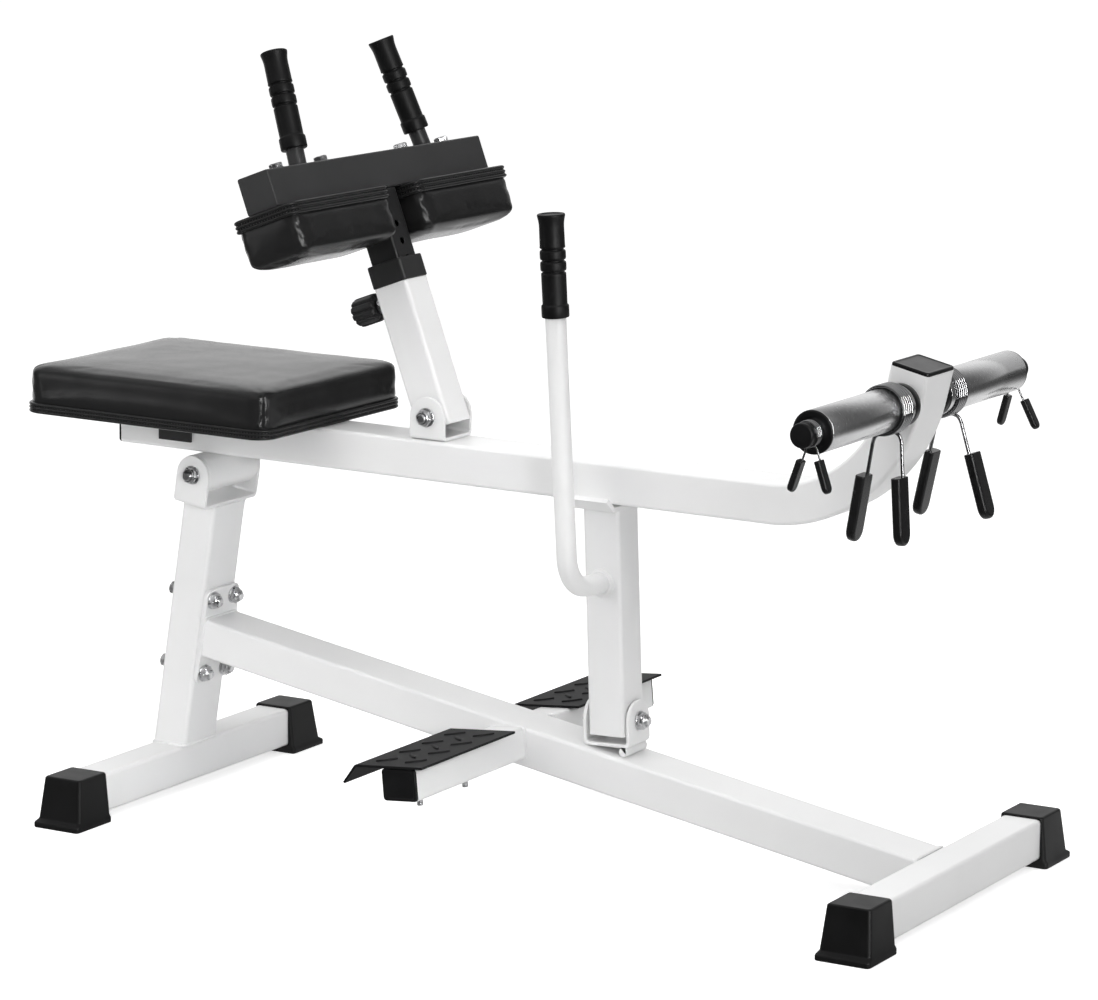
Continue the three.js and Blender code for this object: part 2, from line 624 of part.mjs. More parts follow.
function treadPlate() {
  // section in (X, Z): level plate with its rear edge bent down
  const back = TREAD_AHEAD - TREAD_L;
  const bottom = FOOTBAR_H / 2 + GAP;
  const top = bottom + TREAD_T;
  const bend = rad(TREAD_FLANGE_DEG);
  const [fx, fz] = [-Math.cos(bend) * TREAD_FLANGE, -Math.sin(bend) * TREAD_FLANGE];
  const [nx, nz] = [Math.sin(bend) * TREAD_T, -Math.cos(bend) * TREAD_T];
  const s = new THREE.Shape();
  s.moveTo(TREAD_AHEAD, bottom);
  s.lineTo(TREAD_AHEAD, top);
  s.lineTo(back, top);
  s.lineTo(back + fx, top + fz);
  s.lineTo(back + fx + nx, top + fz + nz);
  s.lineTo(back + TREAD_T * Math.tan(bend / 2), bottom);
  return { s, back, top };
}

function lozenge(turn) {
  const [a, b] = [LOZENGE_L / 2, LOZENGE_W / 2];
  const [top, flat] = LOZENGE_SHARES;
  const outline = (k, z) => [[1, 0], [flat, 1], [-flat, 1], [-1, 0], [-flat, -1], [flat, -1]]
    .map(([x, y]) => new THREE.Vector3(a * x - (1 - k) * b * Math.sign(x), b * k * y, z));
  return solid(loft([outline(1, -TREAD_T / 2), outline(1, 0), outline(top, LOZENGE_H)])).rotate([0, 0, turn]);
}

function tread(name, side) {
  const { s, back, top } = treadPlate();
  const [y0, y1] = side < 0 ? [-TREAD_OUTER, -TREAD_INNER] : [TREAD_INNER, TREAD_OUTER];
  let plate = alongY(s, y0, y1);
  const field = alongZ(roundedRect(TREAD_L - 2 * GAP, y1 - y0 - 2 * GAP, 0, (TREAD_AHEAD + back) / 2, (y0 + y1) / 2), top - TREAD_T, top + TREAD_T);
  const midX = (TREAD_AHEAD + back) / 2;
  const midY = (y0 + y1) / 2;
  const up = lozenge(LOZENGE_TURN_DEG);
  const down = lozenge(-LOZENGE_TURN_DEG);
  const rows = Math.ceil((y1 - y0) / 2 / LOZENGE_STEP_Y);
  const columns = Math.ceil(TREAD_L / 2 / LOZENGE_STEP_X);
  for (let i = -columns; i <= columns; i++) {
    for (let j = -rows; j <= rows; j++) {
      const places = [[up, (i + 0.5) * LOZENGE_STEP_X, (j + 0.5) * LOZENGE_STEP_Y], [down, i * LOZENGE_STEP_X, j * LOZENGE_STEP_Y]];
      places.forEach(([shape, x, y]) => {
        if (Math.abs(x) > TREAD_L / 2 || Math.abs(y) > (y1 - y0) / 2) return;
        plate = plate.add(shape.translate([midX + x, midY + y, top]).intersect(field));
      });
    }
  }
  add(footbar, name, plate, blackSteel);
}

[[-1, 'near'], [1, 'far']].forEach(([side, word]) => {
  const inner = WIDE / 2 + GAP;
  const [y0, y1] = side < 0 ? [-FOOTBAR_HALF, -inner] : [inner, FOOTBAR_HALF];
  add(footbar, `foot_bar_${word}`, alongY(tubeShape(FOOTBAR_W, FOOTBAR_H, CORNER, WALL), y0, y1), white);
  const plug = endPlug(FOOTBAR_W, FOOTBAR_H).translate([0, 0, FOOTBAR_HALF]);
  add(footbar, `foot_bar_plug_${word}`, side < 0 ? toMinusY(plug) : toY(plug), blackPlastic);
  tread(`foot_plate_${word}`, side);
});

// ---------------------------------------------------------------- safety post

// Its bracket stands level on the sloping beam, with a rod under its front edge.
const postTilt = rad(POST_TILT_DEG);
const hingeHalf = TUBE / 2 + HINGE_SIDE + EAR_T;
const postBase = POST_HEAD + EAR_T;
const bracketRear = -hingeHalf;
// rear lower corner of the bracket touches the beam
const cornerX = POST_X + bracketRear * Math.cos(postTilt) + postBase * Math.sin(postTilt);
const postPivotZ = beamTop(cornerX) + GAP + postBase * Math.cos(postTilt) - bracketRear * Math.sin(postTilt);
const postSeat = group(base, POST_X, 0, postPivotZ, -postTilt);
{
  // the rod just fits between the beam and the bracket's floor
  const wedge = postTilt + slope;
  const rodDown = ROD_R - ROD_SINK;
  const rodAhead = (ROD_R + GAP - GAP * Math.cos(slope) + rodDown * Math.cos(wedge)) / Math.sin(wedge);
  const bracket = uBracket(hingeHalf, BRACKET_DEPTH, POST_HEAD, BOLT_R + GAP).rotate([0, 0, 90]);
  const rod = rodY(ROD_R, -BRACKET_DEPTH / 2, BRACKET_DEPTH / 2, bracketRear + rodAhead, -postBase - rodDown);
  add(postSeat, 'post_bracket', bracket.add(rod), white);
  add(postSeat, 'post_pivot_bolt', throughBolt(hingeHalf).rotate([0, 0, 90]), zinc);
}

// Height of the arm's underside above the floor at x, at rest.
const armFloor = (x) => pivotZ + (SLEEVE_R + GAP) / Math.cos(armSlope) - (x - pivotX) * Math.tan(armSlope);
const cradleX = POST_X - (armFloor(POST_X) - postPivotZ) * Math.tan(postTilt);
const cradleTurn = postTilt + armSlope;   // the cradle lies along the arm
const cradleTop = (armFloor(cradleX) - REST_GAP - postPivotZ) / Math.cos(postTilt);
{
  const post = group(machine, POST_X, 0, postPivotZ, -postTilt);
  const under = cradleTop - CRADLE_T - GAP - (TUBE / 2) * Math.tan(cradleTurn);
  let tube = alongZ(tubeShape(TUBE, TUBE, CORNER, WALL), -POST_FOOT, under);
  tube = tube.subtract(rodX(BOLT_R + GAP, -TUBE, TUBE));
  add(post, 'safety_post', tube, white);

  // cradle plate: level part and one flared lip on the near side, outline in (Y, Z)
  const lip = rad(CRADLE_LIP_DEG);
  const [ly, lz] = [-Math.cos(lip) * CRADLE_LIP, Math.sin(lip) * CRADLE_LIP];
  const [ty, tz] = [-Math.sin(lip) * CRADLE_T, -Math.cos(lip) * CRADLE_T];
  const s = new THREE.Shape();
  s.moveTo(CRADLE_FAR, 0);
  s.lineTo(-CRADLE_NEAR, 0);
  s.lineTo(-CRADLE_NEAR + ly, lz);
  s.lineTo(-CRADLE_NEAR + ly + ty, lz + tz);
  s.lineTo(-CRADLE_NEAR - CRADLE_T * Math.tan(lip / 2), -CRADLE_T);
  s.lineTo(CRADLE_FAR, -CRADLE_T);
  add(group(post, 0, 0, cradleTop, cradleTurn), 'cradle_plate', alongX(s, -CRADLE_L / 2, CRADLE_L / 2), white);

  // lever: out of the near side, a bend, then up
  const first = rad(LEVER_RISE_DEG);
  const last = Math.PI / 2 - rad(LEVER_LEAN_DEG);
  const side = new THREE.Vector3(1, 0, 0);
  const path = [];
  const start = TUBE / 2 + GAP + LEVER_R * Math.tan(first);
  const bendStart = LEVER_OUT - LEVER_BEND_R * (1 - Math.sin(first));
  const bendZ = LEVER_UP + (bendStart - start) * Math.tan(first);
  path.push([new THREE.Vector3(0, -start, LEVER_UP), new THREE.Vector3(0, -Math.cos(first), Math.sin(first))]);
  for (let i = 0; i <= LEVER_BEND_STEPS; i++) {
    const a = first + ((last - first) * i) / LEVER_BEND_STEPS;
    path.push([
      new THREE.Vector3(0, -bendStart - LEVER_BEND_R * (Math.sin(a) - Math.sin(first)), bendZ + LEVER_BEND_R * (Math.cos(first) - Math.cos(a))),
      new THREE.Vector3(0, -Math.cos(a), Math.sin(a)),
    ]);
  }
  const [lastPoint, lastWay] = path[path.length - 1];
  path.push([lastPoint.clone().addScaledVector(lastWay, (LEVER_TOP - lastPoint.z) / lastWay.z), lastWay]);
  const sweep = (r, n, more) => solid(loft(path.map(([o, w], i) => {
    const at = o.clone().addScaledVector(w, i === 0 ? -more : i === path.length - 1 ? more : 0);
    const v = new THREE.Vector3().crossVectors(w, side);
    return Array.from({ length: n }, (_, j) => {
      const a = (2 * Math.PI * j) / n;
      return at.clone().addScaledVector(side, r * Math.cos(a)).addScaledVector(v, r * Math.sin(a));
    });
  })));
  add(post, 'lever_tube', sweep(LEVER_R, GRIP_ROUND, 0).subtract(sweep(LEVER_R - LEVER_WALL, SMALL_ROUND, OVERRUN)), white);

  // grip on the lever's end
  const gripPlace = group(post, 0, 0, 0);
  gripPlace.position.copy(path[path.length - 1][0]).addScaledVector(lastWay, -(GRIP_L - GRIP_END - GAP));
  gripPlace.rotation.x = Math.atan2(-lastWay.y, lastWay.z);
  add(gripPlace, 'lever_grip', grip(LEVER_R), rubber);
}

// A rubber grip, standing on z = 0 and closed at its top, for a tube of radius r:
// a ring at the foot, grooves in the middle, and a flared end.
function grip(r) {
  const points = [[0, GRIP_L], [GRIP_FLARE_R - GRIP_EDGE, GRIP_L], [GRIP_FLARE_R, GRIP_L - GRIP_EDGE], [GRIP_FLARE_R - GRIP_EDGE / 2, GRIP_L - GRIP_FLARE_L / 2], [GRIP_R, GRIP_L - GRIP_FLARE_L]];
  for (let i = GRIP_GROOVES - 1; i >= 0; i--) {
    const z = GRIP_GROOVE_AT + i * GRIP_GROOVE_STEP;
    points.push([GRIP_R, z + GRIP_GROOVE_W / 2], [GRIP_R - GRIP_GROOVE_D, z], [GRIP_R, z - GRIP_GROOVE_W / 2]);
  }
  points.push([GRIP_R, GRIP_RING_L + GRIP_EDGE], [GRIP_RING_R, GRIP_RING_L], [GRIP_RING_R, GRIP_EDGE], [GRIP_RING_R - GRIP_EDGE, 0]);
  points.push([0, 0]);
  return turned(points.reverse(), GRIP_ROUND).subtract(rodZ(r + GRIP_FIT, -OVERRUN, GRIP_L - GRIP_END, 0, 0, GRIP_ROUND));
}

// ---------------------------------------------------------------- lever arm

const arm = group(machine, pivotX, 0, pivotZ, armSlope);
const armBottom = SLEEVE_R + GAP;
const armTop = armBottom + TUBE;
const armMid = armBottom + TUBE / 2;

// Frames along the arm: point, way along, and the way to the arm's upper face.
const armPath = [];
armPath.push([new THREE.Vector3(-ARM_REAR, 0, armMid), 0]);
for (let i = 0; i <= ARM_BEND_STEPS; i++) {
  const a = (rad(ARM_BEND_DEG) * i) / ARM_BEND_STEPS;
  armPath.push([new THREE.Vector3(ARM_STRAIGHT + ARM_BEND_R * Math.sin(a), 0, armMid + ARM_BEND_R * (1 - Math.cos(a))), a]);
}
const bendEnd = armPath[armPath.length - 1];
const columnWay = new THREE.Vector3(Math.cos(bendEnd[1]), 0, Math.sin(bendEnd[1]));
const columnEnd = bendEnd[0].clone().addScaledVector(columnWay, COLUMN_END);
armPath.push([columnEnd, bendEnd[1]]);
const barAt = columnEnd.clone().addScaledVector(columnWay, -BAR_DOWN);

function armSection(w, h, r, steps) {
  return ([o, a]) => {
    const up = new THREE.Vector3(-Math.sin(a), 0, Math.cos(a));
    const out = new THREE.Vector3(0, 1, 0);
    return ringPoints(-w / 2, w / 2, -h / 2, h / 2, r, 0, steps)
      .map((p) => o.clone().addScaledVector(out, p.x).addScaledVector(up, p.y));
  };
}
{
  const outer = solid(loft(armPath.map(armSection(WIDE, TUBE, CORNER, ARC))));
  const longer = armPath.map(([o, a], i) => {
    const way = new THREE.Vector3(Math.cos(a), 0, Math.sin(a));
    const more = i === 0 ? -OVERRUN : i === armPath.length - 1 ? OVERRUN : 0;
    return [o.clone().addScaledVector(way, more), a];
  });
  const inner = solid(loft(longer.map(armSection(WIDE - 2 * WALL, TUBE - 2 * WALL, CORNER - WALL, BORE_ARC))));
  add(arm, 'arm_tube', outer.subtract(inner).subtract(rodY(BAR_R + GAP, -WIDE, WIDE, barAt.x, barAt.z, ROUND)), white);
}
{
  // pivot sleeve: a tube with a bush at each end
  const half = REAR_BRACKET_HALF - EAR_T - SLEEVE_SIDE;
  const bore = BOLT_R + SLEEVE_BORE_CLEAR;
  const sleeve = rodY(SLEEVE_R, -half, half, 0, 0, FINE)
    .subtract(rodY(SLEEVE_CORE_R, -half + SLEEVE_BUSH, half - SLEEVE_BUSH, 0, 0, ROUND))
    .subtract(rodY(bore, -half - OVERRUN, half + OVERRUN));
  add(arm, 'arm_pivot_sleeve', sleeve, white);
}
// endPlug's (X, Y) are the tube's (height, width) once it faces along the arm
add(group(arm, -ARM_REAR, 0, armMid), 'arm_rear_plug', toMinusX(endPlug(TUBE, WIDE)), blackPlastic);
add(group(arm, columnEnd.x, 0, columnEnd.z, -bendEnd[1]), 'arm_top_plug', toX(endPlug(TUBE, WIDE)), blackPlastic);

// ---------------------------------------------------------------- weight bar

const bar = group(arm, barAt.x, 0, barAt.z);
add(bar, 'weight_bar', rodY(BAR_R, -BAR_HALF, BAR_HALF, 0, 0, ROUND), chrome);
const sleeveStart = WIDE / 2 + GAP + INNER_RING_L + GAP;

// One open coil with both tails as a single wire, from the rear tail to the front
// one. The coil starts and ends at its lowest point; each tail bends down from there
// and then runs straight into its grip.
function coilPath(r, pitch, turns, y0, bend, hole, tails) {
  const points = [];
  const end = (s, y, [reach, drop, leanDeg]) => {
    const lean = rad(leanDeg);
    const straight = drop - r - bend;
    const across = reach - straight * Math.tan(lean);
    const out = TAIL_SHARES.map(([h, v]) => [s * across * h, -r - bend * v]);
    out.push([s * reach, -drop]);
    out.push([s * (reach + hole * Math.sin(lean)), -drop - hole * Math.cos(lean)]);
    return out.map(([x, z]) => new THREE.Vector3(x, y, z));
  };
  points.push(...end(-1, y0, tails[0]).reverse());
  const steps = turns * COIL_STEPS;
  for (let i = 0; i <= steps; i++) {
    const a = -Math.PI / 2 + (2 * Math.PI * i) / COIL_STEPS;
    points.push(new THREE.Vector3(r * Math.cos(a), y0 + (pitch * i) / COIL_STEPS, r * Math.sin(a)));
  }
  points.push(...end(1, y0 + pitch * turns, tails[1]));
  return points;
}

function wire(points, r, sides) {
  const rings = points.map((p, i) => {
    const before = points[Math.max(i - 1, 0)];
    const after = points[Math.min(i + 1, points.length - 1)];
    const way = after.clone().sub(before).normalize();
    const u = new THREE.Vector3(0, 1, 0);
    u.addScaledVector(way, -u.dot(way)).normalize();
    const v = new THREE.Vector3().crossVectors(way, u);
    return Array.from({ length: sides }, (_, j) => {
      const a = (2 * Math.PI * j) / sides;
      return p.clone().addScaledVector(u, r * Math.cos(a)).addScaledVector(v, r * Math.sin(a));
    });
  });
  return loft(rings);
}

// Least gap between stretches of the wire that are not neighbours.
function selfGap(points, r, skip) {
  const fine = [];
  for (let i = 0; i + 1 < points.length; i++) for (let k = 0; k < GAP_SAMPLES; k++) fine.push(points[i].clone().lerp(points[i + 1], k / GAP_SAMPLES));
  let least = Infinity;
  for (let i = 0; i < fine.length; i++) for (let j = i + skip * GAP_SAMPLES; j < fine.length; j++) least = Math.min(least, fine[i].distanceTo(fine[j]));
  return least - 2 * r;
}

// A flat grip with a rounded lower end, hanging from z = 0, its wide faces across X;
// its long edges are rounded too. The wire enters its top off the middle.
function collarGrip(length, w, t, out, holeR, hole) {
  const outline = [new THREE.Vector2(w / 2, 0), new THREE.Vector2(-w / 2, 0),
    ...arcPoints(0, -length + w / 2, w / 2, 180, 360, 2 * ARC)];
  return alongX(new THREE.Shape(outline), -t / 2, t / 2)
    .intersect(alongZ(roundedRect(t, w, t * COLLAR_GRIP_SHARE, 0, 0, 2), -length, 0))
    .translate([0, out, 0])
    .subtract(rodZ(holeR, -hole, OVERRUN, 0, 0, FLUTE_ROUND));
}

// Both collars of a size are the same piece: the near one is turned end for end.
function collar(word, side, big, rollDeg, rear, front) {
  const wireR = big ? BIG_WIRE_R : SMALL_WIRE_R;
  const pitch = big ? BIG_PITCH : SMALL_PITCH;
  const turns = big ? BIG_TURNS : SMALL_TURNS;
  // the flats of the coil clear what it sits on
  const r = (big ? SLEEVE_OUT_R + BIG_CLEAR + wireR : BAR_R + SMALL_CLEAR + wireR) / Math.cos(Math.PI / COIL_STEPS);
  const start = (big ? sleeveStart + BIG_OFF : SLEEVE_END + RING_T + SMALL_OFF) + wireR;
  const hole = big ? BIG_GRIP_HOLE : SMALL_GRIP_HOLE;
  const turned = group(bar, 0, 0, 0, rad(-rollDeg));
  const place = group(turned, 0, 0, 0, 0, 0, side < 0 ? Math.PI : 0);
  const tails = side < 0 ? [front, rear] : [rear, front];
  const points = coilPath(r, pitch, turns, start, big ? BIG_BEND : SMALL_BEND, hole - GAP, tails);
  const name = big ? 'large_collar' : 'small_collar';
  console.log(`${name}_${word}: least gap of the wire to itself ${selfGap(points, wireR, COIL_STEPS - 2).toFixed(2)} mm`);
  add(place, `${name}_${word}`, solid(wire(points, wireR, COIL_SIDES)), chrome);
  const [length, w, t, out] = big ? [BIG_GRIP_L, BIG_GRIP_W, BIG_GRIP_T, BIG_GRIP_OUT] : [SMALL_GRIP_L, SMALL_GRIP_W, SMALL_GRIP_T, SMALL_GRIP_OUT];
  [[-1, points[1], 0], [1, points[points.length - 2], 1]].forEach(([s, at, i]) => {
    const hold = collarGrip(length, w, t, out, wireR + GRIP_CLEAR, hole)
      .rotate([0, -s * tails[i][2], 0]).translate([at.x, at.y, at.z]);
    const end = (s < 0) === (side > 0) ? 'rear' : 'front';
    add(place, `${name}_grip_${word}_${end}`, hold, blackPlastic);
  });
}

[[-1, 'near'], [1, 'far']].forEach(([side, word]) => {
  const face = side < 0 ? toMinusY : toY;
  add(bar, `sleeve_inner_ring_${word}`, face(turned([
    [BAR_R + GAP, 0], [SLEEVE_OUT_R, 0], [SLEEVE_OUT_R, INNER_RING_L], [BAR_R + GAP, INNER_RING_L], [BAR_R + GAP, 0],
  ]).translate([0, 0, WIDE / 2 + GAP])), blackPlastic);
  const sleeveEnd = SLEEVE_END;
  add(bar, `weight_sleeve_${word}`, face(turned([
    [SLEEVE_OUT_R - SLEEVE_WALL, sleeveStart], [SLEEVE_OUT_R, sleeveStart], [SLEEVE_OUT_R, sleeveEnd], [SLEEVE_OUT_R - SLEEVE_WALL, sleeveEnd], [SLEEVE_OUT_R - SLEEVE_WALL, sleeveStart],
  ], FINE)), satin);
  add(bar, `sleeve_outer_ring_${word}`, face(turned([
    [BAR_R + GAP, sleeveEnd - RING_DEPTH], [SLEEVE_OUT_R - SLEEVE_WALL - GAP, sleeveEnd - RING_DEPTH], [SLEEVE_OUT_R - SLEEVE_WALL - GAP, sleeveEnd + GAP],
    [SLEEVE_OUT_R, sleeveEnd + GAP], [SLEEVE_OUT_R - RING_EDGE, sleeveEnd + RING_T], [BAR_R + GAP, sleeveEnd + RING_T], [BAR_R + GAP, sleeveEnd - RING_DEPTH],
  ])), blackPlastic);
  add(bar, `bar_cap_${word}`, face(turned([
    [0, BAR_HALF + GAP], [BAR_R + GAP, BAR_HALF + GAP], [BAR_R + GAP, BAR_HALF + CAP_END - CAP_LENGTH], [CAP_R, BAR_HALF + CAP_END - CAP_LENGTH],
    [CAP_R, BAR_HALF + CAP_END - CAP_EDGE], [CAP_R - CAP_EDGE, BAR_HALF + CAP_END], [0, BAR_HALF + CAP_END],
  ])), blackPlastic);
});
collar('near', -1, false, SMALL_NEAR_ROLL_DEG,
  [SMALL_NEAR_REAR_REACH, SMALL_NEAR_REAR_DROP, SMALL_NEAR_REAR_LEAN_DEG], [SMALL_NEAR_FRONT_REACH, SMALL_NEAR_FRONT_DROP, SMALL_NEAR_FRONT_LEAN_DEG]);
collar('far', 1, false, SMALL_FAR_ROLL_DEG,
  [SMALL_FAR_REAR_REACH, SMALL_FAR_REAR_DROP, SMALL_FAR_REAR_LEAN_DEG], [SMALL_FAR_FRONT_REACH, SMALL_FAR_FRONT_DROP, SMALL_FAR_FRONT_LEAN_DEG]);
collar('near', -1, true, BIG_NEAR_ROLL_DEG,
  [BIG_NEAR_REAR_REACH, BIG_NEAR_REAR_DROP, BIG_NEAR_REAR_LEAN_DEG], [BIG_NEAR_FRONT_REACH, BIG_NEAR_FRONT_DROP, BIG_NEAR_FRONT_LEAN_DEG]);
collar('far', 1, true, BIG_FAR_ROLL_DEG,
  [BIG_FAR_REAR_REACH, BIG_FAR_REAR_DROP, BIG_FAR_REAR_LEAN_DEG], [BIG_FAR_FRONT_REACH, BIG_FAR_FRONT_DROP, BIG_FAR_FRONT_LEAN_DEG]);

// ---------------------------------------------------------------- seat

// A stuffed pad over a board, standing on z = 0 with its crown up. The outline is
// x0..x1, y0..y1 over the piping. Rings: board, lip, three rows of piping, drawn-in
// wall, rounded edge and crown.
function cushion(x0, x1, y0, y1, spec) {
  const { height, band, inset, round, crown, radius, lip, board } = spec;
  const bead = band / 6;
  const wall = height - crown;
  const rows = [[lip, board], [lip, 0], [bead / 2, 0]];
  PIPING_SHARES.forEach(([d, z]) => rows.push([bead * d, bead * z]));
  rows.push([inset + bead / 2, band + bead / 2]);
  WALL_SHARES.forEach(([d, z]) => rows.push([inset + round * d, band + (wall - band) * z]));
  EDGE_SHARES.forEach(([d, z]) => rows.push([inset + round * d, wall - round * z]));
  const rings = rows.map(([d, z]) => ringPoints(x0 + d, x1 - d, y0 + d, y1 - d, Math.max(radius - d / 2, bead), z, CUSHION_ARC));
  const [mx, my] = [(x0 + x1) / 2, (y0 + y1) / 2];
  const inner = inset + round;
  CROWN_SHARES.forEach(([k, z]) => rings.push(ringPoints(
    mx + (x0 + inner - mx) * k, mx + (x1 - inner - mx) * k, my + (y0 + inner - my) * k, my + (y1 - inner - my) * k,
    (radius - inner / 2) * k, wall + crown * z, CUSHION_ARC,
  )));
  return solid(loft(rings));
}
{
  const seat = group(arm, 0, 0, armTop);
  const straps = alongX(strapShape(), STRAP_X - STRAP_L / 2, STRAP_X + STRAP_L / 2);
  add(seat, 'seat_bracket', straps, blackSteel);
  const body = cushion(SEAT_AHEAD - SEAT_L, SEAT_AHEAD, -SEAT_W / 2, SEAT_W / 2, {
    height: SEAT_H, band: SEAT_BAND, inset: SEAT_INSET, round: SEAT_ROUND, crown: SEAT_CROWN, radius: SEAT_RADIUS, lip: SEAT_LIP, board: SEAT_BOARD_UP,
  });
  add(seat, 'seat_cushion', body.translate([0, 0, GAP]), vinyl);
}
function strapShape() {
  const inner = WIDE / 2 + GAP;
  const outer = inner + STRAP_SIDE_T;
  const s = new THREE.Shape();
  s.moveTo(-outer, -STRAP_DROP);
  s.lineTo(-inner, -STRAP_DROP);
  s.lineTo(-inner, GAP);
  s.lineTo(inner, GAP);
  s.lineTo(inner, -STRAP_DROP);
  s.lineTo(outer, -STRAP_DROP);
  s.lineTo(outer, STRAP_T);
  s.lineTo(-outer, STRAP_T);
  return s;
}

// ---------------------------------------------------------------- knee rest

const kneeLean = rad(KNEE_LEAN_DEG);
const kneeZ = armTop + GAP + EAR_T + HINGE_HEAD;
const kneeSeat = group(arm, KNEE_AHEAD, 0, kneeZ);
add(kneeSeat, 'knee_bracket', uBracket(hingeHalf, BRACKET_DEPTH, HINGE_HEAD, BOLT_R + GAP), white);
add(kneeSeat, 'knee_pivot_bolt', throughBolt(hingeHalf), zinc);

const knee = group(arm, KNEE_AHEAD, 0, kneeZ, -kneeLean);
{
  // the post's rear lower edge rests on the bracket's floor
  const footDown = (HINGE_HEAD - GAP - (TUBE / 2) * Math.sin(kneeLean)) / Math.cos(kneeLean);
  const pin = PIN_R + GAP;
  let post = alongZ(tubeShape(TUBE, TUBE, CORNER, WALL), -footDown, KNEE_POST_TOP)
    .subtract(rodY(BOLT_R + GAP, -TUBE, TUBE));
  const barrel = rodX(BARREL_R, -TUBE / 2 - BARREL_L, -TUBE / 2 + WALL / 2, 0, PIN_UP, ROUND);
  post = post.add(barrel).subtract(rodX(pin, -TUBE / 2 - BARREL_L - OVERRUN, -MAST / 2, 0, PIN_UP));
  add(knee, 'knee_post', post, white);

  const out = COLLAR_W / 2;
  const collarBody = solid(loft([
    ringPoints(-out, out, -out, out, CORNER, 0, ARC),
    ringPoints(-out, out, -out, out, CORNER, COLLAR_H - COLLAR_TAPER, ARC),
    ringPoints(-out + COLLAR_TAPER, out - COLLAR_TAPER, -out + COLLAR_TAPER, out - COLLAR_TAPER, CORNER - COLLAR_TAPER, COLLAR_H, ARC),
  ])).add(alongZ(roundedRect(TUBE - 2 * WALL - 2 * GAP, TUBE - 2 * WALL - 2 * GAP, CORNER - WALL, 0, 0, BORE_ARC), -COLLAR_SKIRT, GAP))
    .subtract(alongZ(roundedRect(MAST + 2 * GAP, MAST + 2 * GAP, MAST_CORNER), -COLLAR_SKIRT - OVERRUN, COLLAR_H + OVERRUN));
  add(group(knee, 0, 0, KNEE_POST_TOP + GAP), 'knee_collar', collarBody, blackPlastic);

  // pull pin: a fluted knob on a pin that ends at the mast's face
  const knobStart = TUBE / 2 + BARREL_L + KNOB_GAP;
  const tip = MAST / 2 + GAP;
  let knob = turned([[0, 0], [KNOB_R - KNOB_EDGE, 0], [KNOB_R, KNOB_EDGE], [KNOB_R, KNOB_L - KNOB_EDGE], [KNOB_R - KNOB_EDGE, KNOB_L],
    [KNOB_HOLLOW_R, KNOB_L], [KNOB_HOLLOW_R, KNOB_L - KNOB_HOLLOW], [KNOB_INSERT_R, KNOB_L - KNOB_HOLLOW], [KNOB_INSERT_R, KNOB_L], [0, KNOB_L]]);
  for (let i = 0; i < KNOB_FLUTES; i++) {
    const a = (2 * Math.PI * i) / KNOB_FLUTES;
    knob = knob.subtract(rodZ(KNOB_FLUTE_R, -OVERRUN, KNOB_L + OVERRUN, KNOB_R * Math.cos(a), KNOB_R * Math.sin(a), FLUTE_ROUND));
  }
  const pinBody = toMinusX(knob.translate([0, 0, knobStart])).add(rodX(PIN_R, -knobStart - KNOB_EDGE, -tip)).translate([0, 0, PIN_UP]);
  add(knee, 'pull_pin', pinBody, blackPlastic);

  // mast with its row of holes in front and behind
  let mast = alongZ(tubeShape(MAST, MAST, MAST_CORNER, MAST_WALL), MAST_FOOT, BOX_UP - GAP);
  for (let i = 0; i < MAST_HOLES; i++) {
    mast = mast.subtract(rodX(MAST_HOLE_R, -MAST, MAST, 0, MAST_HOLE_FIRST + i * MAST_PITCH, HOLE_ROUND));
  }
  add(knee, 'knee_mast', mast, blackSteel);

  // knee box: a closed tube, open only at the pads' bolt holes
  const padMid = PAD_INNER + PAD_L / 2;
  let box = alongY(roundedRect(BOX_D, BOX_H, BOX_CORNER, 0, BOX_UP + BOX_H / 2), -BOX_HALF, BOX_HALF)
    .subtract(alongY(roundedRect(BOX_D - 2 * BOX_WALL, BOX_H - 2 * BOX_WALL, 0, 0, BOX_UP + BOX_H / 2), -BOX_HALF + BOX_WALL, BOX_HALF - BOX_WALL));
  [-1, 1].forEach((s) => [-1, 1].forEach((t) => {
    box = box.subtract(rodZ(PAD_BOLT_R, BOX_UP - OVERRUN, BOX_UP + BOX_H + OVERRUN, 0, s * padMid + (t * PAD_BOLT_STEP) / 2));
  }));
  // the two handles' tubes, welded on the box and cut to its top; a grip covers each
  const handleL = GRIP_UP + GRIP_L - GRIP_END - GAP;
  const sink = BOX_WALL / 2 + HANDLE_R * Math.tan(rad(HANDLE_IN_DEG));
  const over = alongZ(roundedRect(BOX_D, 2 * BOX_HALF, 0), BOX_UP + BOX_H - BOX_WALL / 2, BOX_UP + BOX_H + handleL);
  [-1, 1].forEach((s) => {
    const tube = rodZ(HANDLE_R, -sink, handleL, 0, 0, GRIP_ROUND).subtract(rodZ(HANDLE_R - HANDLE_WALL, 0, handleL + OVERRUN));
    box = box.add(tube.rotate([s * HANDLE_IN_DEG, 0, 0]).translate([0, s * HANDLE_Y, BOX_UP + BOX_H]).intersect(over));
  });
  add(knee, 'knee_box', box, blackSteel);

  [[-1, 'near'], [1, 'far']].forEach(([side, word]) => {
    const [y0, y1] = side < 0 ? [-PAD_INNER - PAD_L, -PAD_INNER] : [PAD_INNER, PAD_INNER + PAD_L];
    const pad = cushion(-PAD_D / 2, PAD_D / 2, y0, y1, {
      height: PAD_H, band: PAD_BAND, inset: PAD_INSET, round: PAD_ROUND, crown: PAD_CROWN, radius: PAD_RADIUS, lip: PAD_INSET, board: GAP,
    });
    // the pad hangs crown down under the box
    add(knee, `knee_pad_${word}`, pad.mirror([0, 0, 1]).translate([0, 0, BOX_UP - GAP]), vinyl);

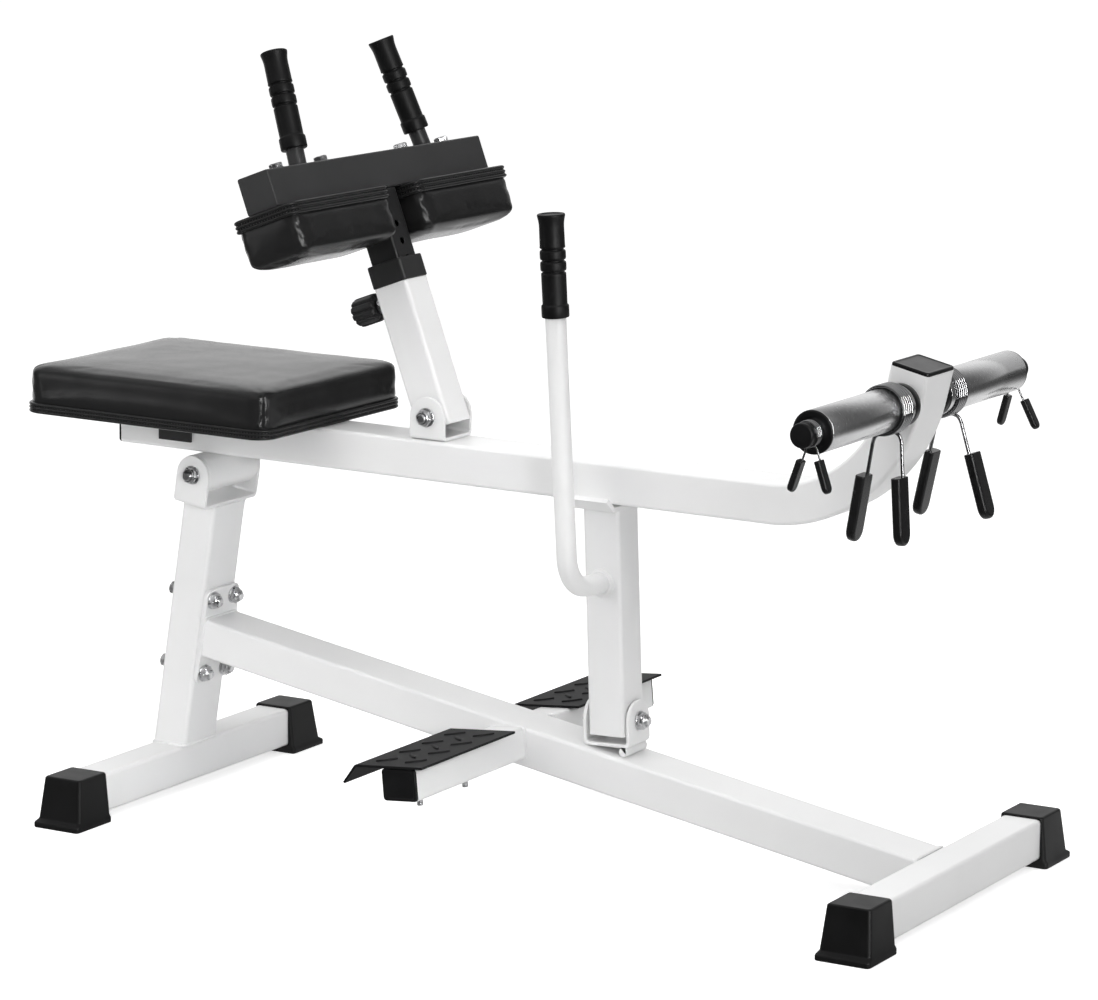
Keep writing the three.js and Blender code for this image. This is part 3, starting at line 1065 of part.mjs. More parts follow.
    const stand = group(knee, 0, side * HANDLE_Y, BOX_UP + BOX_H, 0, rad(side * HANDLE_IN_DEG));
    add(group(stand, 0, 0, GRIP_UP), `handle_grip_${word}`, grip(HANDLE_R), rubber);
  });
}

// The origin is the middle of the machine's footprint, on the floor.
machine.updateMatrixWorld(true);
const bounds = new THREE.Box3().setFromObject(machine, true);
const middle = bounds.getCenter(new THREE.Vector3());
machine.position.set(-middle.x, -middle.y, -bounds.min.z);
machine.updateMatrixWorld(true);

export default machine;
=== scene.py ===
# Seated calf raise machine, dressed over its CAD frame. Metres, +X from the seat to the
# weights, +Y to the left of a person on the seat, +Z up. The near side is -Y.
import json
import math

import bmesh
import bpy
from mathutils import Matrix, Vector, noise

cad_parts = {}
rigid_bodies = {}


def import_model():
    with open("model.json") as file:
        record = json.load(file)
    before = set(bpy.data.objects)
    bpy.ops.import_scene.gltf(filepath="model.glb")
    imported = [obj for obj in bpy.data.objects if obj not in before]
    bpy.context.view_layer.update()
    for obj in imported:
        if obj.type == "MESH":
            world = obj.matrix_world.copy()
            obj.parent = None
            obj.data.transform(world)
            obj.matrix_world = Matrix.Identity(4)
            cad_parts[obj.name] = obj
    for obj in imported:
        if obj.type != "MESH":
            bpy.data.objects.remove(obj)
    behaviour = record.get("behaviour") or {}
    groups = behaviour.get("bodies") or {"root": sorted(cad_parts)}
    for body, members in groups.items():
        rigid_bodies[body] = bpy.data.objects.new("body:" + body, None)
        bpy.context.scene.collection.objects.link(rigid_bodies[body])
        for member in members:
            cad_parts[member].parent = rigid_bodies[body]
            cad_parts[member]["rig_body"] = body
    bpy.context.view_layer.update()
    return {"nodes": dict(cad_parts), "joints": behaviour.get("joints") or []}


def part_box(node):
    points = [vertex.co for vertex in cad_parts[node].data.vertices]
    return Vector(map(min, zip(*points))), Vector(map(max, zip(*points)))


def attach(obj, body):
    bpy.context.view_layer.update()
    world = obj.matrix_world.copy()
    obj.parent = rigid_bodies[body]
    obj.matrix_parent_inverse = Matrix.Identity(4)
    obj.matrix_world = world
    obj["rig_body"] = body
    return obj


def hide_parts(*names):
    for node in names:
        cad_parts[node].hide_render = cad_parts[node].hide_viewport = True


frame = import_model()
nodes = frame["nodes"]
pivot = {j["name"]: Vector(j["pos_m"]) for j in frame["joints"] if "pos_m" in j}
MM = 0.001

# --- Camera -------------------------------------------------------------------------
# A long lens from the near front corner, a little above the seat, as in the photograph.
lens = bpy.data.cameras.new("camera")
lens.sensor_fit, lens.sensor_width, lens.lens = "HORIZONTAL", 36.0, 136.14
lens.clip_start, lens.clip_end = 0.1, 60.0
camera = bpy.data.objects.new("camera", lens)
camera.location = (2.60731, -4.23691, 1.36262)
camera.rotation_euler = (math.radians(90 - 10.69), 0.0, math.radians(31.09))
bpy.context.scene.collection.objects.link(camera)
bpy.context.scene.camera = camera
bpy.context.scene.view_settings.view_transform = "Standard"


# --- Floor and light ----------------------------------------------------------------
# A pale studio: a white floor, soft light from above and from both sides, and darker
# walls that only gloss shows, so that chrome and vinyl have something to mirror.
class Socket:
    """An output in a node tree; arithmetic on it adds Math nodes to that tree."""

    def __init__(self, tree, out):
        self.tree, self.out = tree, out

    def node(self, kind, settings=None, inputs=None, out=0):
        made = self.tree.nodes.new(kind)
        for key, value in (settings or {}).items():
            if key == "stops":
                ramp = made.color_ramp
                ramp.elements.remove(ramp.elements[1])
                ramp.elements[0].position = value[0][0]
                ramp.elements[0].color = (*[value[0][1]] * 3, 1)
                for at, grey in value[1:]:
                    ramp.elements.new(at).color = (*[grey] * 3, 1)
            else:
                setattr(made, key, value)
        for key, value in (inputs or {}).items():
            if isinstance(value, Socket):
                self.tree.links.new(value.out, made.inputs[key])
            else:
                made.inputs[key].default_value = value
        return Socket(self.tree, made.outputs[out])

    def math(self, operation, *values):
        return self.node("ShaderNodeMath", {"operation": operation}, dict(enumerate(values)))

    def __add__(self, other):
        return self.math("ADD", self, other)

    def __mul__(self, other):
        return self.math("MULTIPLY", self, other)

    def __sub__(self, other):
        return self.math("SUBTRACT", self, other)

    def __rsub__(self, other):
        return self.math("SUBTRACT", other, self)

    __radd__, __rmul__ = __add__, __mul__


def facing_ray(place, kind, others, those):
    """One shader for a kind of ray, and the other for the rest."""
    ray = place.node("ShaderNodeLightPath", {}, {}, kind)
    return place.node("ShaderNodeMixShader", {}, {0: ray, 1: others, 2: those})


def glow(place, strength, kind="ShaderNodeBackground"):
    return place.node(kind, {}, {"Color": (1, 1, 1, 1), "Strength": strength})


def ramp(value, stops, low=0.0, high=1.0):
    limits = {"Value": value, "From Min": low, "From Max": high}
    share = value.node("ShaderNodeMapRange", {}, limits)
    return value.node("ShaderNodeValToRGB", {"stops": stops}, {0: share})


studio = bpy.data.worlds.new("studio")
bpy.context.scene.world = studio
studio.use_nodes = True
studio.node_tree.nodes.clear()
direction = studio.node_tree.nodes.new("ShaderNodeTexCoord").outputs["Generated"]
way = Socket(studio.node_tree, direction)
right, back, up = (way.node("ShaderNodeSeparateXYZ", {}, {0: way}, k) for k in range(3))
stops = [(0, 1.0), (0.37, 1.05), (0.5, 0.8), (0.6, 0.46), (0.7, 0.24), (0.78, 0.13), (1, 0.1)]
lit_wall = ramp(right, stops, -1.0, 1.0)
lit_wall = lit_wall * ramp(up, [(0.0, 1.0), (0.6, 1.0), (0.8, 0.5), (1.0, 0.4)])
dark_wall = ramp(up, [(0.0, 0.03), (0.3, 0.05), (0.5, 0.35), (0.75, 0.8), (1.0, 0.7)])
limits = {"Value": back, "From Min": -0.15, "From Max": 0.5}
behind = back.node("ShaderNodeMapRange", {"interpolation_type": "SMOOTHSTEP"}, limits)
sides = {"Factor": behind, "A": dark_wall, "B": lit_wall}
walls = behind.node("ShaderNodeMix", {"data_type": "FLOAT"}, sides)
air = facing_ray(walls, "Is Glossy Ray", glow(walls, 0.5), glow(walls, walls))
surface = studio.node_tree.nodes.new("ShaderNodeOutputWorld").inputs["Surface"]
studio.node_tree.links.new(air.out, surface)


def softbox(name, at, towards, size, watts):
    panel = bpy.data.lights.new(name, "AREA")
    panel.shape, panel.size, panel.size_y, panel.energy = "RECTANGLE", size[0], size[1], watts
    stand = bpy.data.objects.new(name, panel)
    stand.location = at
    stand.rotation_euler = (Vector(towards) - Vector(at)).to_track_quat("-Z", "Y").to_euler()
    bpy.context.scene.collection.objects.link(stand)
    return stand


for box in (
    softbox("overhead_softbox", (-0.1, -0.2, 3.2), (0, 0, 0), (3.0, 2.2), 56),
    softbox("front_softbox", (-1.4, -3.1, 1.9), (0, 0, 0.4), (2.0, 2.0), 35),
    softbox("right_softbox", (3.0, -0.3, 2.5), (0, 0, 0.4), (1.4, 1.4), 23),
    softbox("low_softbox", (2.2, -2.3, 0.9), (-0.95, 0, 0.1), (0.6, 0.6), 1.6),
):
    box.visible_glossy = False
box.data.spread = math.radians(34)  # the low one only, to reach the rear foot
for strip in (
    softbox("edge_strip", (2.45, -1.5, 1.25), (0, 0, 0.9), (0.2, 2.5), 62),
    softbox("low_strip", (2.9, -0.35, 0.7), (0, 0, 0.5), (0.12, 1.4), 12),
    softbox("left_strip", (-2.7, -2.6, 1.0), (0, 0, 0.5), (0.2, 1.6), 6),
):
    strip.visible_diffuse = False


# --- Cross tubes --------------------------------------------------------------------
# Two square box tubes that lie across the machine on the floor, powder-coated white.
# The coat's edges are soft, so each carries a thin highlight, and its skin is faintly
# rippled like the peel of an orange.
def finish(name, colour, roughness, metallic=0.0):
    """A material, its shader and the place on the machine that its patterns read."""
    material = bpy.data.materials.new(name)
    material.use_nodes = True
    shader = material.node_tree.nodes["Principled BSDF"]
    shader.inputs["Base Color"].default_value = (*colour, 1)
    shader.inputs["Roughness"].default_value = roughness
    shader.inputs["Metallic"].default_value = metallic
    at = material.node_tree.nodes.new("ShaderNodeTexCoord").outputs["Object"]
    return material, shader, Socket(material.node_tree, at)


def wire_up(shader, **values):
    for name, value in values.items():
        value.tree.links.new(value.out, shader.inputs[name.replace("_", " ")])


def grain(place, scale, detail=2.0, roughness=0.5):
    sizes = {"Vector": place, "Scale": scale, "Detail": detail, "Roughness": roughness}
    return place.node("ShaderNodeTexNoise", {}, sizes)


def relief(height, strength, depth):
    sizes = {"Height": height, "Strength": strength, "Distance": depth}
    return height.node("ShaderNodeBump", {}, sizes)


def tint(share, dark, light):
    """A colour between two, by a value from 0 to 1."""
    ends = {"Factor": share, "A": (*dark, 1), "B": (*light, 1)}
    return share.node("ShaderNodeMix", {"data_type": "RGBA"}, ends, 2)


def clouded(name, dark, light, rough, clouds, fine, gloss=0.5, metallic=0.0):
    """A material whose colour and roughness drift in soft clouds, over a fine relief.

    rough: its least value and its spread; clouds: scale and detail; fine: scale, detail,
    strength, and depth in millimetres.
    """
    material, shader, place = finish(name, light, sum(rough), metallic)
    shader.inputs["Specular IOR Level"].default_value = gloss
    cloud = grain(place, *clouds)
    scale, detail, strength, depth = fine
    wire_up(
        shader,
        Base_Color=tint(cloud, dark, light),
        Roughness=cloud * rough[1] + rough[0],
        Normal=relief(grain(place, scale, detail), strength, depth * MM),
    )
    return material


def powder_coat(name, dark, light, roughness, peel, gloss=0.5):
    rough, fine = (roughness - 0.05, 0.1), (620, 1.0, peel, 0.15)
    return clouded(name, dark, light, rough, (11, 2.0), fine, gloss)


white_coat = powder_coat("white_powder_coat", (0.80, 0.80, 0.80), (0.86, 0.86, 0.86), 0.36, 0.22)


def put(name, made, material, body, stands_for=(), sharp=38.0):
    """A finished bmesh as a piece that rides on a body."""
    mesh = bpy.data.meshes.new(name)
    made.to_mesh(mesh)
    made.free()
    mesh.shade_smooth()
    mesh.set_sharp_from_angle(angle=math.radians(sharp))
    mesh.materials.append(material)
    piece = bpy.data.objects.new(name, mesh)
    bpy.context.scene.collection.objects.link(piece)
    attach(piece, body)
    if stands_for:
        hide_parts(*stands_for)
    return piece


def soften(piece, width, segments=2, angle=40.0):
    """Rounds a piece's sharp edges and keeps its flats flat."""
    edge = piece.modifiers.new("Soft edges", "BEVEL")
    edge.width, edge.segments, edge.limit_method = width, segments, "ANGLE"
    edge.angle_limit, edge.use_clamp_overlap = math.radians(angle), False
    piece.data.shade_smooth()
    even = piece.modifiers.new("Flat faces", "WEIGHTED_NORMAL")
    even.keep_sharp, even.weight = True, 60
    return piece


def dressed(node, material, edge=0.7 * MM):
    """A CAD piece in its finish: a merged copy in its place, with softened edges."""
    made = bmesh.new()
    made.from_mesh(nodes[node].data)
    bmesh.ops.remove_doubles(made, verts=made.verts, dist=2e-6)
    flat = math.radians(0.6)
    bmesh.ops.dissolve_limit(made, angle_limit=flat, verts=made.verts, edges=made.edges)
    piece = put(node + "_coated", made, material, nodes[node]["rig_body"], [node])
    return soften(piece, edge)


for name in ("rear_cross_tube", "front_cross_tube"):
    dressed(name, white_coat)

# --- Rubber feet --------------------------------------------------------------------
# A moulded rubber boot over each end of the cross tubes: walls that widen towards the
# floor and a flange round the bottom. Matte, with a slightly polished skin.
dark, light = (0.003, 0.003, 0.003), (0.008, 0.008, 0.0085)
rubber = clouded(
    "black_rubber", dark, light, (0.36, 0.2), (26, 3.0), (1500, 2.0, 0.3, 0.12), 0.2
)
for end in ("rear", "front"):
    for side in ("near", "far"):
        dressed(f"foot_{end}_{side}", rubber, 1.1 * MM)

# --- Rear upright, its pivot bracket and the base beam --------------------------------
# Wide box tube. The upright is welded to the rear cross tube and carries a bent U plate;
# the beam runs down to the front cross tube from a plate that is bolted to the upright.
for name in ("rear_upright", "rear_pivot_bracket", "base_beam"):
    dressed(name, white_coat)

# --- Bolts ----------------------------------------------------------------------------
# Bright zinc bolts: a washer and a lock nut with the thread's end on one side, a washer
# and a hexagon head on the other. The same hardware holds pivots, plate, box and treads.
dark, light = (0.44, 0.44, 0.45), (0.74, 0.74, 0.75)
zinc = clouded(
    "bright_zinc", dark, light, (0.2, 0.16), (90, 2.0), (2600, 1.0, 0.1, 0.05), metallic=1.0
)


def loft(rings, capped=True, looped=False):
    """One closed skin through rings of equal counts."""
    made = bmesh.new()
    rows = [[made.verts.new(p) for p in ring] for ring in rings]
    count = len(rows[0])
    for lower, upper in zip(rows, rows[1:] + rows[:1] if looped else rows[1:]):
        for i in range(count):
            k = (i + 1) % count
            made.faces.new((lower[i], lower[k], upper[k], upper[i]))
    if capped and not looped:
        made.faces.new(rows[0][::-1])
        made.faces.new(rows[-1])
    bmesh.ops.remove_doubles(made, verts=made.verts, dist=1e-7)
    bmesh.ops.recalc_face_normals(made, faces=made.faces)
    return made


def angles(count):
    return [2 * math.pi * i / count for i in range(count)]


def in_mm(profile):
    return [(r * MM, z * MM) for r, z in profile]


def turned(profile, sides, place=Matrix()):
    """A round piece: points (radius, height) turned about the place's Z."""
    closed = profile[0] == profile[-1]
    rings = [
        [place @ Vector((r * math.cos(a), r * math.sin(a), z)) for a in angles(sides)]
        for r, z in (profile[:-1] if closed else profile)
    ]
    return loft(rings, False, closed)


def joined(*parts):
    made = bmesh.new()
    for part in parts:
        mesh = bpy.data.meshes.new("part")
        part.to_mesh(mesh)
        part.free()
        made.from_mesh(mesh)
        bpy.data.meshes.remove(mesh)
    return made


def hexagon(flats, levels, sides=72):
    """A hexagon whose corners are cut back to a radius at each height."""
    sixth, rings = math.pi / 3, []
    for z, limit in levels:
        ring = []
        for a in angles(sides):
            r = min(flats / 2 / math.cos((a + sixth / 2) % sixth - sixth / 2), limit)
            ring.append(Vector((r * math.cos(a), r * math.sin(a), z)))
        rings.append(ring)
    return loft(rings)


def washer(radius, hole, thick):
    """A disc with a hole and a broken rim, on z = 0."""
    e = 0.3 * MM
    rim = [(radius - e, 0.0), (radius, e), (radius, thick - e), (radius - e, thick)]
    return turned([(hole, 0.0), *rim, (hole, thick), (hole, 0.0)], 48)


def lock_nut():
    """Washer, nut with its rolled collar, and the thread's end, on z = 0."""
    flats, r, thick, turns = 17.0, 5.0, 2.0, 7
    face = thick + 5.2
    top, tip = face + 2.4, face + 5.4
    levels = [(thick, flats * 0.52), (thick + 0.8, flats), (face - 0.9, flats)]
    levels.append((face, flats * 0.49))
    rolled = [(r * 1.05, face - 0.5), (flats * 0.46, face - 0.5), (flats * 0.455, top - 0.9)]
    rolled += [(flats * 0.4, top), (r * 1.25, top), (r * 1.12, top - 1.2), rolled[0]]
    thread_line, pitch = [(0, thick)], (tip - thick) / turns
    for i in range(turns):
        z = thick + pitch * i
        thread_line += [(r * 0.9, z), (r, z + 0.55 * pitch)]
    thread_line += [(r * 0.82, tip), (0, tip)]
    return joined(
        washer(10.5 * MM, r * MM, thick * MM),
        hexagon(flats * MM, in_mm(levels)),
        turned(in_mm(rolled), 48),
        turned(in_mm(thread_line), 32),
    )


def hex_head():
    """Washer and a plain hexagon head with a turned-down face, on z = 0."""
    flats, thick = 17.0, 2.0
    face = thick + 6.6
    levels = [(thick, flats * 0.5), (thick + 0.5, flats), (face - 1.1, flats)]
    levels += [(face, flats * 0.475), (face, flats * 0.4), (face - 0.35, flats * 0.36)]
    return joined(washer(10.5 * MM, 5 * MM, thick * MM), hexagon(flats * MM, in_mm(levels)))


def socket(tree, label, kind, value=None):
    made = tree.interface.new_socket(label, in_out="INPUT", socket_type="NodeSocket" + kind)
    if value is not None:
        made.default_value = value


def new_tree(name, *inputs):
    """A Geometry Nodes tree with named inputs; returns the tree, its inputs and its end."""
    tree = bpy.data.node_groups.new(name, "GeometryNodeTree")
    socket(tree, "Geometry", "Geometry")
    for entry in inputs:
        socket(tree, *entry)
    tree.interface.new_socket("Geometry", in_out="OUTPUT", socket_type="NodeSocketGeometry")
    entry = tree.nodes.new("NodeGroupInput")
    given = {o.name: Socket(tree, o) for o in entry.outputs if o.name}

    def end(geometry):
        whole = geometry.node("GeometryNodeRealizeInstances", {}, {0: geometry})
        smooth = whole.node("GeometryNodeSetShadeSmooth", {}, {0: whole})
        faced = smooth.node("GeometryNodeSetMaterial", {}, {0: smooth, "Material": given["Finish"]})
        tree.links.new(faced.out, tree.nodes.new("NodeGroupOutput").inputs[0])

    return tree, given, end


def as_made(piece):
    """A plain mesh of a piece as its modifiers make it."""
    made = piece.evaluated_get(bpy.context.evaluated_depsgraph_get())
    return bpy.data.meshes.new_from_object(made)


def grown(name, mesh, tree, sizes, body, stands_for=(), sharp=None):
    """What a tree makes of a mesh, as a plain piece."""
    piece = bpy.data.objects.new(name, mesh)
    bpy.context.scene.collection.objects.link(piece)
    grow = piece.modifiers.new("Grow", "NODES")
    grow.node_group = tree
    for item in tree.interface.items_tree:
        if item.in_out == "INPUT" and item.name in sizes:
            grow[item.identifier] = sizes[item.name]
    piece.update_tag()
    shape = as_made(piece)
    piece.modifiers.clear()
    piece.data = shape
    if sharp is not None:
        shape.set_sharp_from_angle(angle=math.radians(sharp))
    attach(piece, body)
    if stands_for:
        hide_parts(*stands_for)
    return piece


# One copy of a part at each point, its Z along the point's aim.
copies, given, end = new_tree(
    "copies_at_points", ("Part", "Object"), ("Size", "Float", 1.0), ("Finish", "Material")
)
shape = given["Part"].node("GeometryNodeObjectInfo", {}, {"Object": given["Part"]}, "Geometry")
aim = shape.node("GeometryNodeInputNamedAttribute", {"data_type": "FLOAT_VECTOR"}, {"Name": "aim"})
turn = shape.node("GeometryNodeInputNamedAttribute", {"data_type": "FLOAT"}, {"Name": "turn"})
facing = aim.node("FunctionNodeAlignRotationToVector", {"axis": "Z"}, {"Vector": aim})
about_z = turn.node("ShaderNodeCombineXYZ", {}, {2: turn})
local = {"rotation_space": "LOCAL"}
spun = facing.node("FunctionNodeRotateRotation", local, {0: facing, 1: about_z})
spread = {"Points": given["Geometry"], "Instance": shape, "Rotation": spun, "Scale": given["Size"]}
end(shape.node("GeometryNodeInstanceOnPoints", {}, spread))


def points(name, places):
    """A mesh of points, each with the way that a copy faces and its turn."""
    mesh = bpy.data.meshes.new(name)
    mesh.from_pydata([p[0] for p in places], [], [])
    aims = [c for p in places for c in p[1]]
    turns = [p[2] if len(p) > 2 else 0.35 for p in places]
    mesh.attributes.new("aim", "FLOAT_VECTOR", "POINT").data.foreach_set("vector", aims)
    mesh.attributes.new("turn", "FLOAT", "POINT").data.foreach_set("value", turns)
    return mesh


def pattern_part(name, made, sharp=30.0):
    """A part that only its copies show."""
    mesh = bpy.data.meshes.new(name)
    made.to_mesh(mesh)
    made.free()
    mesh.shade_smooth()
    mesh.set_sharp_from_angle(angle=math.radians(sharp))
    part = bpy.data.objects.new(name, mesh)
    bpy.context.scene.collection.objects.link(part)
    return part


def bolts(name, part, places, body, stands_for=(), size=1.0):
    sizes = {"Part": part, "Size": size, "Finish": zinc}
    return grown(name, points(name, places), copies, sizes, body, stands_for)


def seat_at(place, *xyz):
    return place @ Vector(xyz)


def way_of(place, *xyz):
    return place.to_3x3() @ Vector(xyz)


def leaning(spot, degrees):
    """A place at a spot, turned about the machine's Y."""
    return Matrix.Translation(spot) @ Matrix.Rotation(math.radians(degrees), 4, "Y")


nut_part, head_part = pattern_part("lock_nut", lock_nut()), pattern_part("hex_head", hex_head())
upright_lean, arm_lean, knee_lean, post_lean = 9.6, 0.85, -20.0, -1.9
upright_place = leaning(pivot["arm_pivot"], upright_lean)
arm_place = leaning(pivot["arm_pivot"], arm_lean)
knee_place = leaning(pivot["knee_post_tilt"], knee_lean)
knee_seat_place = leaning(pivot["knee_post_tilt"], arm_lean)
post_place = leaning(pivot["safety_post_swing"], post_lean)
rear_half, hinge_half, pivot_size = 57.8 * MM, 32.7 * MM, 1.12
for node, place, half, nut_way, body in (
    ("rear_pivot_bolt", upright_place, rear_half, (0, -1, 0), "base"),
    ("knee_pivot_bolt", knee_seat_place, hinge_half, (0, -1, 0), "arm"),
    ("post_pivot_bolt", post_place, hinge_half, (1, 0, 0), "base"),
):
    for word, part, s, stands_for in (("nut", nut_part, 1, [node]), ("head", head_part, -1, ())):
        outward = [s * c for c in nut_way]
        spot = (seat_at(place, *(half * c for c in outward)), way_of(place, *outward))
        bolts(f"{node}_{word}", part, [spot], body, stands_for, pivot_size)

# The plate's four bolts, nuts in front and heads behind.
plate_mid, plate_face, upright_back = -213.5 * MM, 31.3 * MM, -25.2 * MM
plate_spots = [(y * 22.5 * MM, plate_mid + z * 49 * MM) for y in (-1, 1) for z in (-1, 1)]
nuts, heads = [], []
for y, z in plate_spots:
    spot = seat_at(upright_place, plate_face, y, z)
    nuts.append((spot, way_of(upright_place, 1, 0, 0), 0.2 + 9 * y))
    spot = seat_at(upright_place, upright_back, y, z)
    heads.append((spot, way_of(upright_place, -1, 0, 0), 0.5 + 11 * y))
bolts("plate_nuts", nut_part, nuts, "base", size=1.08)
bolts("plate_bolt_heads", head_part, heads, "base", size=0.9)

# --- Weld beads -------------------------------------------------------------------------
# Where tube meets tube or plate, a weld of overlapping ripples runs round the joint, under
# the same powder coat. The lever's root carries the largest.
beads, given, end = new_tree(
    "beads_along_path",
    ("Pitch", "Float", 2.4 * MM),
    ("Length", "Float", 5 * MM),
    ("Width", "Float", 4 * MM),
    ("Finish", "Material"),
)
seam = given["Geometry"].node("GeometryNodeMeshToCurve", {}, {0: given["Geometry"]})
spacing = {"Curve": seam, "Length": given["Pitch"]}
dots = seam.node("GeometryNodeResampleCurve", {"mode": "LENGTH"}, spacing)
tangent = dots.node("GeometryNodeInputTangent")
one = dots.node("GeometryNodeMeshUVSphere", {}, {"Segments": 8, "Rings": 5, "Radius": 0.5})
wide, long = given["Width"], given["Length"]
size = one.node("ShaderNodeCombineXYZ", {}, {0: wide, 1: wide, 2: long})
facing = tangent.node("FunctionNodeAlignRotationToVector", {"axis": "Z"}, {"Vector": tangent})
spread = {"Points": dots, "Instance": one, "Rotation": facing, "Scale": size}
end(dots.node("GeometryNodeInstanceOnPoints", {}, spread))


def weld(name, place, spots, width, body, closed=True, material=None):
    """A bead through points in millimetres, on a place of its own."""
    mesh = bpy.data.meshes.new(name)
    count = len(spots)
    edges = [(i, (i + 1) % count) for i in range(count if closed else count - 1)]
    mesh.from_pydata([seat_at(place, *(c * MM for c in p)) for p in spots], edges, [])
    sizes = {"Pitch": width * 0.5 * MM, "Length": width * 1.15 * MM, "Width": width * MM}
    sizes["Finish"] = material or white_coat
    return grown(name, mesh, beads, sizes, body)


def frame_round(half_u, half_v, r):
    return rounded(-half_u, half_u, -half_v, half_v, r, 4)


def rounded(x0, x1, y0, y1, r, steps):
    """Points round a rectangle with round corners, counter-clockwise."""
    out = []
    low_x, high_x, low_y, high_y = x0 + r, x1 - r, y0 + r, y1 - r
    middles = ((high_x, low_y), (high_x, high_y), (low_x, high_y), (low_x, low_y))
    for (cx, cy), start in zip(middles, (-90, 0, 90, 180)):
        for i in range(steps + 1):
            a = math.radians(start + 90 * i / steps)
            out.append((cx + r * math.cos(a), cy + r * math.sin(a)))
    return out


seam = [(31.6, u, plate_mid / MM + v) for u, v in frame_round(35.2, 25.2, 5)]
weld("beam_plate_weld", upright_place, seam, 4.2, "base")
seam = [(u, v, -41.0) for u, v in frame_round(24.8, 34.8, 5)]
weld("upright_head_weld", upright_place, seam, 3.0, "base")
level = Matrix.Translation(upright_place.translation)
slope, steeper = (f(math.radians(upright_lean)) for f in (math.tan, math.cos))
foot_z = (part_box("rear_cross_tube")[1].z - upright_place.translation.z) / MM
seam = [(slope * foot_z + u, v, foot_z + 0.3) for u, v in frame_round(25.6, 35.4, 5)]
weld("upright_foot_weld", level, seam, 4.4, "base")
reach = (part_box("front_cross_tube")[0].x - pivot["arm_pivot"].x) / MM
top_z = (plate_mid / MM + 25.0) / steeper - slope * reach
low_z = top_z - 50.0 / steeper
edge = [(-35.4, low_z + 3), (-35.4, top_z - 4), (-34.2, top_z - 1.2), (-31, top_z)]
edge += [(-y, z) for y, z in edge[::-1]]
seam = [(reach - 0.4, y, z) for y, z in edge]
weld("beam_front_weld", level, seam, 4.4, "base", closed=False)

# --- Foot bar, its plugs and the tread plates -------------------------------------------
# A stub of box tube on each side of the beam, closed by a plastic plug. A sheet-steel
# tread lies on each, its rear edge bent down, with raised bars pressed crosswise in it.
for side in ("near", "far"):
    dressed(f"foot_bar_{side}", white_coat)
dark, light = (0.005, 0.005, 0.0055), (0.010, 0.010, 0.0105)
black_plastic = clouded(
    "black_plastic", dark, light, (0.24, 0.16), (45, 3.0), (1900, 2.0, 0.16, 0.08), 0.22
)


def end_plug(name, node, w, h, place, body):
    """A tube's plug: a cap with a soft rim round a slightly sunk face, on the place's Z."""
    rings = []
    rim = [(4.0, -0.2), (0.6, -0.2), (0.6, 2.5), (0.95, 3.4), (1.8, 4.0), (3.6, 4.0)]
    for inset, z in rim + [(4.3, 3.5), (5.5, 3.4), (9.0, 3.4)]:
        x, y, r = w / 2 - inset * MM, h / 2 - inset * MM, max(4.4 - inset * 0.35, 0.8) * MM
        section, high = rounded(-x, x, -y, y, r, 6), (z + 0.3) * MM
        rings.append([place @ Vector((u, v, high)) for u, v in section])
    return put(name, loft(rings), black_plastic, body, [node], sharp=60)


tread_place = leaning((16.07 * MM, 0, 129.637 * MM), -5)
dark, light = (0.004, 0.004, 0.0045), (0.011, 0.011, 0.0115)
tread_steel = powder_coat("black_tread_coat", dark, light, 0.6, 0.5, 0.16)
half = [(1, 0), (0.86, 0.42), (0.62, 0.8), (0.3, 1), (-0.3, 1), (-0.62, 0.8), (-0.86, 0.42)]
outline = half + [(-u, -v) for u, v in half]
bar_part = []
for z, k in ((-0.4, 1.0), (0.3, 1.0), (1.1, 0.88), (1.55, 0.62), (1.7, 0.3)):
    half_length, half_width = 13.5 - (1 - k) * 3, 3 * k
    ring = [(half_length * u * MM, half_width * v * MM, z * MM) for u, v in outline]
    bar_part.append([Vector(p) for p in ring])
bar_part = pattern_part("tread_bar", loft(bar_part), 60)
screw_line = [p for z in range(10) for p in ((3.4, z * 1.2), (4.0, z * 1.2 + 0.6))]
screw_line = [(0, 0), *screw_line, (3.2, 12.4), (0, 12.4)]
screw_part = pattern_part("screw_end", turned(in_mm(screw_line), 20))
upward, downward = way_of(tread_place, 0, 0, 1), way_of(tread_place, 0, 0, -1)
bend, flange, t, bend_r = math.radians(50), 28.5, 3.0, 2.5
edge, back, low = 36.0, -59.0, 20.3
bar_x, bar_y, bar_limit = 41, 50, 97
